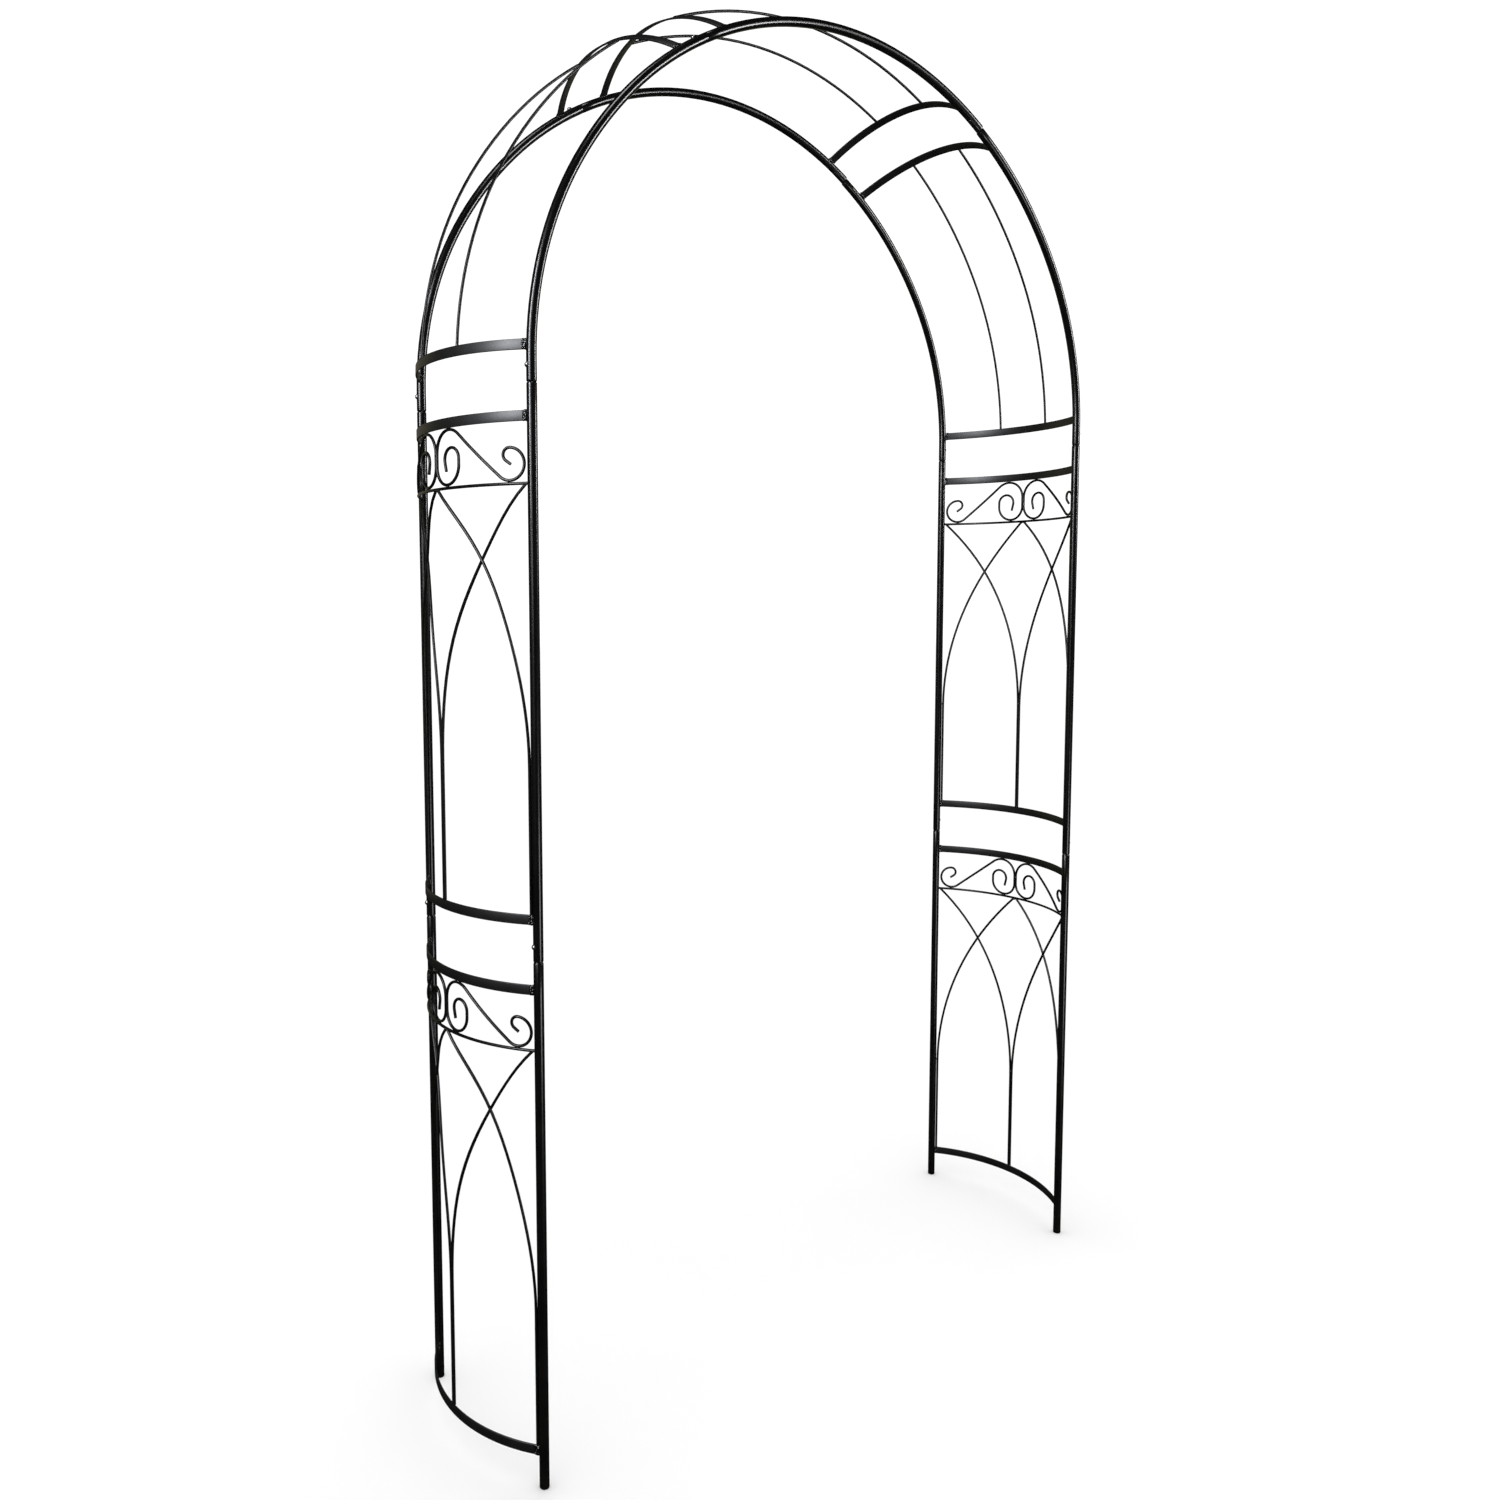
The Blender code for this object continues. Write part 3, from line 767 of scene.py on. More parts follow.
def bow_out(piece: Piece) -> None:
    """Rolls a flat-bench piece to the bow, and stands it in its section's frame.

    Args:
        piece: The flat piece.
    """
    across = [vertex.co.x for vertex in piece.data.vertices]
    apply_modifier(
        piece,
        "SIMPLE_DEFORM",
        deform_method="BEND",
        deform_axis="Z",
        angle=(max(across) - min(across)) / BOW.radius,
    )
    stand = Matrix.Translation((BOW.rise, 0.0, 0.0))
    piece.matrix_world = stand @ Matrix.Rotation(QUARTER_TURN, 4, "Z")
    settle(piece)


@dataclass
class Workshop:
    """The finishes, and the way a finished piece is handed over."""

    materials: dict[Metal, bpy.types.Material] = field(default_factory=dict)

    def mix_finishes(self) -> None:
        """Makes each finish once."""
        for metal, finish in FINISHES.items():
            self.materials[metal] = finish.make()

    def place(self, pattern: Piece, node: str, where: Matrix, metal: Metal) -> None:
        """Copies a pattern to its place and hands the copy over.

        Args:
            pattern: The piece that was modelled.
            node: The frame's node that the copy stands for.
            where: The copy's place.
            metal: Its finish.
        """
        self.hand_over(copy_of(pattern, node, where), metal, node)

    def hand_over(self, piece: Piece, metal: Metal, node: str | None = None) -> None:
        """Dresses a piece and ties it to the frame.

        Args:
            piece: The finished piece.
            metal: Its finish.
            node: The frame's node that it stands for, if any.
        """
        if node is not None:
            piece.name = f"{node}_coated"
        piece.data.materials.clear()
        piece.data.materials.append(self.materials[metal])
        piece.data.name = piece.name
        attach(piece, BODY)
        if node is not None:
            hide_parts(node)
        log.info("%s: %d faces in %s", piece.name, len(piece.data.polygons), metal.value)


# ---- hoops


@dataclass
class TubeShop:
    """Models each tube length of a hoop once."""

    sides: int = 32
    leg_steps: int = 12
    tip: float = 0.0006
    mouth: float = 0.0069

    # Rounded rim of a square-cut end, drawn from the mouth to the full tube.
    rim: Profile = (
        (0.00012, 0.00735),
        (0.0003, 0.0077),
        (0.0005, 0.00791),
        (0.0008, STOCK.tube_radius),
    )
    # Swaged shoulder, drawn from the full tube down to the spigot.
    shoulder: Profile = (
        (0.0004, 0.0078),
        (0.0006, 0.0074),
        (0.0006, 0.0069),
        (0.0007, STOCK.spigot_radius),
    )

    @property
    def rim_length(self) -> float:
        """Length that the rim takes up."""
        return sum(length for length, _ in self.rim)

    @property
    def shoulder_length(self) -> float:
        """Length that the shoulder takes up."""
        return sum(length for length, _ in self.shoulder)

    def start(self, name: str, place: Vector, heading: float, radius: float) -> Bender:
        """Sets a tube's first ring on the bench."""
        return Bender(name, (place.x, place.z), heading, radius, self.sides, solid=False)

    def wall(self, bar: Bender) -> Piece:
        """Gives a drawn skin its wall, inwards.

        Args:
            bar: The drawn skin.

        Returns:
            The finished tube.
        """
        tube = bar.finish()
        self.face_out(tube)
        apply_modifier(tube, "SOLIDIFY", thickness=STOCK.tube_wall, offset=-1.0)
        smooth(tube)
        return tube

    def face_out(self, tube: Piece) -> None:
        """Turns an open skin's faces away from the tube's middle, if they aren't.

        Args:
            tube: The skin, whose first ring is its first vertices.
        """
        face = tube.data.polygons[0]
        ring = [vertex.co for vertex in tube.data.vertices[: self.sides]]
        middle = sum(ring, Vector()) / self.sides
        if (face.center - middle).dot(face.normal) < 0:
            shape(tube)
            bpy.ops.mesh.flip_normals()
            leave()

    def leg(self, name: str, length: float) -> Piece:
        """A straight leg, plain at its foot and swaged at its top.

        Args:
            name: The pattern's name.
            length: The height of its joint line above its foot.

        Returns:
            The leg, standing on the origin.
        """
        bar = self.start(name, Vector(), QUARTER_TURN, self.mouth)
        bar.profile(self.rim)
        plain = length - self.rim_length - self.shoulder_length - STOCK.fit_gap
        bar.pull(plain, steps=self.leg_steps)
        bar.profile(self.shoulder)
        bar.pull(STOCK.fit_gap + STOCK.spigot_length - self.tip)
        bar.pull(self.tip, STOCK.spigot_radius - self.tip)
        return self.wall(bar)

    def haunch(self, name: str, swaged: bool) -> Piece:
        """The right-hand shoulder tube, from the leg joint to the crown joint.

        Args:
            name: The pattern's name.
            swaged: Whether its upper end plugs into the crown.

        Returns:
            The tube, in the plane of its hoop.
        """
        foot = Vector((HOOP.half_span, 0.0, HOOP.haunch_joint))
        bar = self.start(name, foot, QUARTER_TURN, self.mouth)
        bar.profile(self.rim)
        bar.pull(HOOP.spring - HOOP.haunch_joint - self.rim_length)
        bar.bend(HOOP.haunch_radius, QUARTER_TURN - HOOP.crown_start)
        end = self.shoulder_length + STOCK.fit_gap if swaged else self.rim_length
        sweep = HOOP.crown_start - HOOP.crown_joint - end / HOOP.crown_radius
        bar.bend(HOOP.crown_radius, sweep)
        if not swaged:
            bar.profile(backwards(self.rim, self.mouth))
            return self.wall(bar)
        bar.profile(self.shoulder)
        reach = STOCK.fit_gap + STOCK.spigot_length - self.tip
        bar.bend(HOOP.crown_radius, reach / HOOP.crown_radius)
        bar.pull(self.tip, STOCK.spigot_radius - self.tip)
        return self.wall(bar)

    def crown(self, name: str) -> Piece:
        """The top tube, swaged at its left end and plain at its right.

        Args:
            name: The pattern's name.

        Returns:
            The tube, in the plane of its hoop.
        """
        reach = STOCK.spigot_length / HOOP.crown_radius
        start = -HOOP.crown_joint - reach
        bar = self.start(name, HOOP.point(start), -start, STOCK.spigot_radius - self.tip)
        bar.pull(self.tip, STOCK.spigot_radius)
        run = STOCK.spigot_length + STOCK.fit_gap - self.tip
        bar.bend(HOOP.crown_radius, -run / HOOP.crown_radius)
        bar.profile(backwards(self.shoulder, STOCK.tube_radius))
        used = STOCK.fit_gap + self.shoulder_length + self.rim_length
        bar.bend(HOOP.crown_radius, -(2 * HOOP.crown_joint - used / HOOP.crown_radius))
        bar.profile(backwards(self.rim, self.mouth))
        return self.wall(bar)


@dataclass
class ScrewShop:
    """Models the dome-head screw once, its axis along Z and its seat at zero."""

    sides: int = 28
    shank_length: float = 0.006
    chamfer: float = 0.0004
    point_share: float = 0.8
    under_edge: float = 0.00025
    seat_step: float = 0.00001
    recess_width: float = 0.0007
    recess_length: float = 0.0030
    recess_depth: float = 0.0014
    recess_taper: float = 0.6

    # The dome's outline, in shares of the head's height and radius.
    dome: Profile = (
        (0.08, 1.0),
        (0.20, 0.985),
        (0.38, 0.92),
        (0.58, 0.79),
        (0.76, 0.61),
        (0.90, 0.40),
        (0.97, 0.22),
        (1.0, 0.08),
    )

    def screw(self) -> Piece:
        """The screw, with a cross recess in its dome.

        Returns:
            The screw.
        """
        point = STOCK.shank_radius * self.point_share
        start = (0.0, -self.shank_length)
        bar = Bender("screw_pattern", start, QUARTER_TURN, point, self.sides)
        bar.pull(self.chamfer, STOCK.shank_radius)
        bar.pull(self.shank_length - self.chamfer)
        bar.pull(self.seat_step, STOCK.head_radius - self.under_edge)
        level = 0.0
        for height, width in self.dome:
            bar.pull((height - level) * STOCK.head_height, STOCK.head_radius * width)
            level = height
        screw = bar.finish()
        for turn in (0.25, 0.75):
            self.cut_slot(screw, turn * math.pi)
        smooth(screw, 40.0)
        return screw

    def cut_slot(self, screw: Piece, turn: float) -> None:
        """Cuts one slot of the recess, tapered towards its bottom.

        Args:
            screw: The screw.
            turn: The slot's direction about the axis.
        """
        bpy.ops.object.select_all(action="DESELECT")
        top = STOCK.head_height + MM
        low = STOCK.head_height - self.recess_depth
        bpy.ops.mesh.primitive_cube_add(size=1.0, location=(0.0, 0.0, (top + low) / 2))
        tool = bpy.context.object
        shape(tool)
        bpy.ops.transform.resize(value=(self.recess_length, self.recess_width, top - low))
        leave()
        for vertex in tool.data.vertices:
            if vertex.co.z < 0:
                vertex.co.x *= self.recess_taper
        tool.rotation_euler = (0.0, 0.0, turn)
        settle(tool)
        apply_modifier(screw, "BOOLEAN", operation="DIFFERENCE", solver="EXACT", object=tool)
        discard(tool)


@dataclass
class Hoops:
    """Both hoops: seven tubes each, plugged together and screwed."""

    workshop: Workshop
    tubes: TubeShop = field(default_factory=TubeShop)
    screws: ScrewShop = field(default_factory=ScrewShop)

    def build(self) -> None:
        """Models the tube lengths and the screw, and sets out both hoops."""
        upper = HOOP.haunch_joint - HOOP.leg_joint
        patterns = {
            "lower_leg": self.tubes.leg("lower_leg_pattern", HOOP.leg_joint),
            "upper_leg": self.tubes.leg("upper_leg_pattern", upper),
            "left_haunch": self.tubes.haunch("left_haunch_pattern", swaged=False),
            "right_haunch": self.tubes.haunch("right_haunch_pattern", swaged=True),
            "crown": self.tubes.crown("crown_pattern"),
            "screw": self.screws.screw(),
        }
        for row in Row:
            self.set_out(row, patterns)
        discard(*patterns.values())

    def set_out(self, row: Row, patterns: dict[str, Piece]) -> None:
        """Sets out one hoop.

        Args:
            row: Which hoop.
            patterns: The modelled lengths, by name.
        """
        depth = Matrix.Translation((0.0, row.value * HOOP.half_spacing, 0.0))
        for side in Side:
            turned = depth @ Matrix.Rotation(side.turn, 4, "Z")
            foot = turned @ Matrix.Translation((HOOP.half_span, 0.0, 0.0))
            joint = foot @ Matrix.Translation((0.0, 0.0, HOOP.leg_joint))
            stem = f"{row.label}_{side.label}"
            for label, key, where in (
                ("lower_leg", "lower_leg", foot),
                ("upper_leg", "upper_leg", joint),
                ("haunch", f"{side.label}_haunch", turned),
            ):
                self.workshop.place(patterns[key], f"{stem}_{label}", where, Metal.TUBE)
            self.fix(patterns["screw"], stem, side, depth)
        self.workshop.place(patterns["crown"], f"{row.label}_crown", depth, Metal.TUBE)

    def fix(self, pattern: Piece, stem: str, side: Side, depth: Matrix) -> None:
        """Drives the three screws on one side of a hoop, from outside its tubes.

        Args:
            pattern: The modelled screw.
            stem: The start of the screws' names.
            side: The side of the hoop.
            depth: The hoop's own place.
        """
        leg = side.value * HOOP.half_span
        square = side.value * QUARTER_TURN
        bent = side.value * HOOP.crown_joint - STOCK.screw_offset / HOOP.crown_radius
        for label, centre, angle in (
            ("lower", Vector((leg, 0.0, HOOP.leg_joint + STOCK.screw_offset)), square),
            ("upper", Vector((leg, 0.0, HOOP.haunch_joint + STOCK.screw_offset)), square),
            ("crown", HOOP.point(bent), bent),
        ):
            seat = Matrix.Translation(centre + outward(angle) * STOCK.screw_seat)
            where = depth @ seat @ Matrix.Rotation(angle, 4, "Y")
            self.workshop.place(pattern, f"{stem}_{label}_screw", where, Metal.SCREW)


# ---- welds


class Bead(Enum):
    """Half sizes of the weld beads in mm: through the bow, along it and up it."""

    STRAP_TOE = (2.2, 3.4, 3.3)
    STRAP_CAP = (1.9, 3.3, 3.1)
    STRAP_BACK = (1.9, 2.9, 3.1)
    PEAK = (2.4, 3.6, 2.4)
    FEET = (2.3, 4.6, 1.9)
    SEAM = (1.9, 2.0, 7.0)
    CURL_HIGH = (2.0, 1.7, 5.0)
    CURL_LOW = (2.0, 1.7, 5.5)
    RAIL_END = (2.6, 2.6, 3.0)
    FOOT = (2.2, 2.6, 1.8)
    EDGE = (1.8, 2.4, 2.4)
    RAIL_UNDER = (2.0, 3.0, 2.0)
    RAIL_TOP = (2.1, 3.2, 1.7)
    CREST = (2.1, 3.2, 1.6)
    ROD_END = (2.1, 3.0, 2.2)


@dataclass
class WeldShop:
    """Lays down weld beads, which are copies of one rippled blob."""

    workshop: Workshop
    seed: int = 11
    seeds_apart: int = 1000
    ripple: float = 0.2
    stray_mm: float = 0.5
    swell: tuple[float, float] = (0.84, 1.1)
    heights_mm: tuple[float, ...] = (-5.6, -2.4, 0.2, 3.0, 5.6)
    # Each run up a band's end: its distance from the tube, layer and bead.
    runs_mm: tuple[tuple[float, float, Bead], ...] = (
        (1.4, 1.2, Bead.STRAP_TOE),
        (5.0, 0.7, Bead.STRAP_CAP),
        (1.2, -1.4, Bead.STRAP_BACK),
    )
    pattern: Piece | None = None
    laid: dict[str, list[Piece]] = field(default_factory=dict)

    def melt(self) -> None:
        """Models the blob, one unit in radius."""
        bpy.ops.object.select_all(action="DESELECT")
        bpy.ops.mesh.primitive_ico_sphere_add(subdivisions=3, radius=1.0)
        self.pattern = bpy.context.object
        self.pattern.name = "bead_pattern"
        shape(self.pattern)
        bpy.ops.transform.vertex_random(
            offset=self.ripple, uniform=0.0, normal=1.0, seed=self.seed
        )
        bpy.ops.mesh.vertices_smooth(factor=0.5, repeat=2)
        leave()
        smooth(self.pattern, 80.0)

    def lay(self, section: str, frame: Matrix, bead: Bead) -> None:
        """Lays one bead, a little out of place, turned and swollen by chance.

        Args:
            section: The section whose welds it joins.
            frame: The bead's place, with its axes along its half sizes.
            bead: Which bead.
        """
        row = self.laid.setdefault(section, [])
        draw = random.Random(self.seed * self.seeds_apart + len(row))
        stray = Vector([MM * draw.uniform(-self.stray_mm, self.stray_mm) for _ in range(3)])
        turn = Matrix.Rotation(draw.uniform(0.0, 2 * math.pi), 4, "X")
        twist = Matrix.Rotation(draw.uniform(0.0, 2 * math.pi), 4, "Z")
        swell = draw.uniform(*self.swell)
        size = Matrix.Diagonal((*(MM * half * swell for half in bead.value), 1.0))
        where = frame @ Matrix.Translation(stray) @ size @ turn @ twist
        row.append(copy_of(self.pattern, f"{section}_bead_{len(row)}", where))

    def lay_on_bow(self, section: str, frame: Matrix, spot: Triple, bead: Bead) -> None:
        """Lays one bead with its thickness square to the bow.

        Args:
            section: The section whose welds it joins.
            frame: The frame of the band or panel.
            spot: How far it is along the bow, up it and out from it.
            bead: Which bead.
        """
        turn = Matrix.Rotation(spot[0] / BOW.radius, 4, "Z")
        self.lay(section, frame @ Matrix.Translation(BOW.point(*spot)) @ turn, bead)

    def strap_ends(self, section: str, frame: Matrix) -> None:
        """Welds both ends of a band to the hoops, outside and inside.

        Args:
            section: The section that the band belongs to.
            frame: The band's own frame.
        """
        reach = BOW.half_arc - STOCK.tube_radius
        for side in (-1.0, 1.0):
            for gap, layer, bead in self.runs_mm:
                for height in self.heights_mm:
                    spot = (side * (reach - gap * MM), height * MM, layer * MM)
                    self.lay_on_bow(section, frame, spot, bead)

    def gather(self) -> None:
        """Joins each section's beads into one piece and hands it over."""
        for section, beads in self.laid.items():
            piece = join(f"{section}_welds", beads)
            settle(piece)
            self.workshop.hand_over(piece, Metal.WELD)
        discard(self.pattern)


# ---- infill

TOP_ROD_REACH = 0.060  # how far the rods over the top stand from the middle
TRACERY_DROP = 0.428  # height of the tracery's bends, up to the rail
ROD_LAYER = 0.0006  # how far each of two crossing rods is sprung off the bow
WELD_GAP = 0.00192  # half of the distance between two rods welded side by side
WELD_SIT = 0.0006  # how far a rod's bead sits off an edge, or inside the bow
EDGE_BITE = 0.0004  # how deep a rod's end sinks into a band's edge
LEFT_FLATNESS = 0.65  # how far the left tracery is drawn in from the bow
FLATNESS_FADE = 1.5  # how fast that fades out towards the middle and the hoops


@dataclass
class StrapShop:
    """Models the bowed flat band once, in its own frame."""

    steps: int = 44
    trim: float = 0.0072
    edge_segments: int = 3
    first_step: float = 0.000001
    merge: float = 0.00001

    def band(self) -> Piece:
        """The band, from hoop to hoop, with rolled edges.

        Returns:
            The band, its middle height at zero.
        """
        half = BOW.half_angle - self.trim / BOW.radius
        bpy.ops.object.select_all(action="DESELECT")
        bpy.ops.mesh.primitive_plane_add(
            size=1.0,
            location=BOW.point(-half * BOW.radius, 0.0),
            rotation=(QUARTER_TURN, 0.0, -half),
        )
        band = bpy.context.object
        band.scale = (STOCK.strap_thickness, STOCK.strap_width, 1.0)
        settle(band)
        shape(band)
        bpy.ops.mesh.bevel(
            affect="VERTICES",
            offset=STOCK.strap_edge,
            segments=self.edge_segments,
            offset_type="OFFSET",
        )
        bpy.ops.mesh.select_mode(type="FACE")
        bpy.ops.mesh.select_all(action="SELECT")
        bpy.ops.mesh.extrude_region()
        bpy.ops.transform.translate(value=(0.0, self.first_step, 0.0))
        bpy.ops.mesh.spin(
            steps=self.steps,
            angle=-2 * half,
            center=(BOW.rise - BOW.radius, 0.0, 0.0),
            axis=(0.0, 0.0, 1.0),
            dupli=False,
            use_auto_merge=False,
        )
        bpy.ops.mesh.select_all(action="SELECT")
        bpy.ops.mesh.remove_doubles(threshold=self.merge)
        bpy.ops.mesh.normals_make_consistent(inside=False)
        leave()
        smooth(band, 30.0)
        return band


@dataclass
class RodShop:
    """Bends the round rods of the panels."""

    blunt: float = 0.0004
    rail_bite: float = 0.0006
    rail_steps: int = 40
    upright_steps: int = 10
    bend_step: float = math.radians(2.2)

    def begin(
        self, name: str, start: tuple[float, float], heading: float, radius: float
    ) -> Bender:
        """Starts a rod with a blunt, slightly broken edge.

        Args:
            name: The rod's name.
            start: The X and Z of the rod's start.
            heading: The direction in which it grows.
            radius: Its radius.

        Returns:
            The rod, ready to be drawn on.
        """
        bar = Bender(name, start, heading, radius - self.blunt)
        bar.pull(self.blunt, radius)
        return bar

    def end(self, bar: Bender) -> Piece:
        """Ends a rod with a blunt, slightly broken edge.

        Args:
            bar: The drawn rod.

        Returns:
            The finished rod.
        """
        bar.pull(self.blunt, bar.radius - self.blunt)
        rod = bar.finish()
        smooth(rod, 40.0)
        return rod

    def rail(self) -> Piece:
        """The bowed rail, from hoop to hoop.

        Returns:
            The rail, its middle height at zero.
        """
        reach = BOW.half_arc - STOCK.tube_radius + self.rail_bite
        bar = self.begin("rail_pattern", (-reach, 0.0), 0.0, STOCK.rod_radius)
        bar.pull(2 * (reach - self.blunt), steps=self.rail_steps)
        rail = self.end(bar)
        bow_out(rail)
        return rail

    def tracery_rod(
        self, start: float, end: float, height: float, drop: float, layer: float
    ) -> Piece:
        """A rod that rises from the band and bends over to the rail.

        Args:
            start: Where it meets the rail, along the bow.
            end: Where it stands on the band, along the bow.
            height: The rail's height above the band.
            drop: The height of the bend.
            layer: How far outside the bow it lies.

        Returns:
            The rod, still flat.
        """
        reach = start - end
        radius = (reach**2 + drop**2) / (2 * abs(reach))
        sweep = math.asin(drop / radius)
        foot = STOCK.strap_width / 2 - EDGE_BITE
        bar = self.begin("tracery_rod", (end, foot), QUARTER_TURN, STOCK.rod_radius)
        bar.pull(height - drop - foot - self.blunt, steps=self.upright_steps)
        sweep -= self.blunt / radius
        bar.bend(radius, -math.copysign(sweep, reach), self.bend_step)
        rod = self.end(bar)
        rod.location = (0.0, -layer, 0.0)
        settle(rod)
        return rod

    def top_rod(self, name: str, angles: tuple[float, float]) -> Piece:
        """A rod over the arch between two angles from the hoop's top.

        Args:
            name: The rod's name.
            angles: The angles it runs from and to, the first on the right.

        Returns:
            The rod, at Y = 0.
        """
        offset = BOW.depth(TOP_ROD_REACH) - STOCK.top_rod_sink
        high, low = angles
        place = HOOP.point(high, offset)
        bar = self.begin(name, (place.x, place.z), math.pi - high, STOCK.top_rod_radius)
        if high > HOOP.crown_start:
            bar.bend(HOOP.haunch_radius + offset, high - HOOP.crown_start)
            high = HOOP.crown_start
        bar.bend(HOOP.crown_radius + offset, high - low - self.blunt / HOOP.crown_radius)
        return self.end(bar)


@dataclass(frozen=True)
class ScrollShape:
    """One S-scroll, in shares of the clear height between rail and band."""

    top_bend: float = 0.42
    bottom_bend: float = 0.35
    inner_bend: float = 0.21
    inner_rise: float = 0.11
    tail: float = 0.17
    tail_tilt: float = math.radians(14.0)
    hook_bend: float = 0.29
    curl_bend: float = 0.125
    curl: float = math.radians(145.0)
    curl_tail: float = 0.12
    waist: float = 0.47
    side_gap: float = 0.0025
    pair_gap: float = 0.00192
    step: float = math.radians(6.0)
    diagonal_steps: int = 6

    def bend_up(self, rods: RodShop, rail: float, band: float) -> Piece:
        """Bends the right-hand scroll on the flat bench.

        Args:
            rods: The shop that starts and ends rods.
            rail: The rail's height.
            band: The upper band's height.

        Returns:
            The scroll, still flat.
        """
        low = rail + 2 * STOCK.rod_radius
        high = band - STOCK.strap_width / 2 - STOCK.rod_radius
        clear = high - low
        top, bottom = clear * self.top_bend, clear * self.bottom_bend
        inner, hook = clear * self.inner_bend, clear * self.hook_bend
        reach = BOW.half_arc - STOCK.tube_radius - STOCK.rod_radius - self.side_gap
        across = reach - hook - self.pair_gap - top
        down = (high - top) - (low + hook)
        between = math.hypot(across, down)
        slope = math.atan2(down, across) + math.asin((top + hook) / between)
        diagonal = math.sqrt(between**2 - (top + hook) ** 2)
        left = self.pair_gap + 2 * bottom - 2 * inner
        turn_height = low + bottom + clear * self.inner_rise
        tail = clear * self.tail
        swing = self.tail_tilt
        x = left + inner * (1 - math.cos(swing)) + tail * math.sin(swing)
        z = turn_height - inner * math.sin(swing) - tail * math.cos(swing)
        bar = rods.begin("scroll", (x, z), QUARTER_TURN + swing, STOCK.rod_radius)
        bar.pull(tail - rods.blunt)
        bar.bend(inner, -math.pi - swing, self.step)
        bar.pull(clear * self.inner_rise)
        bar.bend(bottom, -math.pi, self.step)
        bar.pull(high - top - low - bottom)
        bar.bend(top, -QUARTER_TURN - slope, self.step)
        bar.pull(diagonal, steps=self.diagonal_steps)
        bar.bend(hook, math.pi + slope, self.step)
        bar.bend(clear * self.curl_bend, self.curl, 2 * self.step)
        bar.pull(clear * self.curl_tail - rods.blunt)
        return rods.end(bar)


SCROLL = ScrollShape()


@dataclass(frozen=True)
class PanelSizes:
    """Heights of one side panel: its foot, and the spacings above it."""

    level: str
    base: float
    tracery: float
    scroll: float


PANELS = (
    PanelSizes("lower", base=0.061, tracery=0.655, scroll=0.0965),
    PanelSizes("upper", base=0.923, tracery=0.665, scroll=0.100),
)


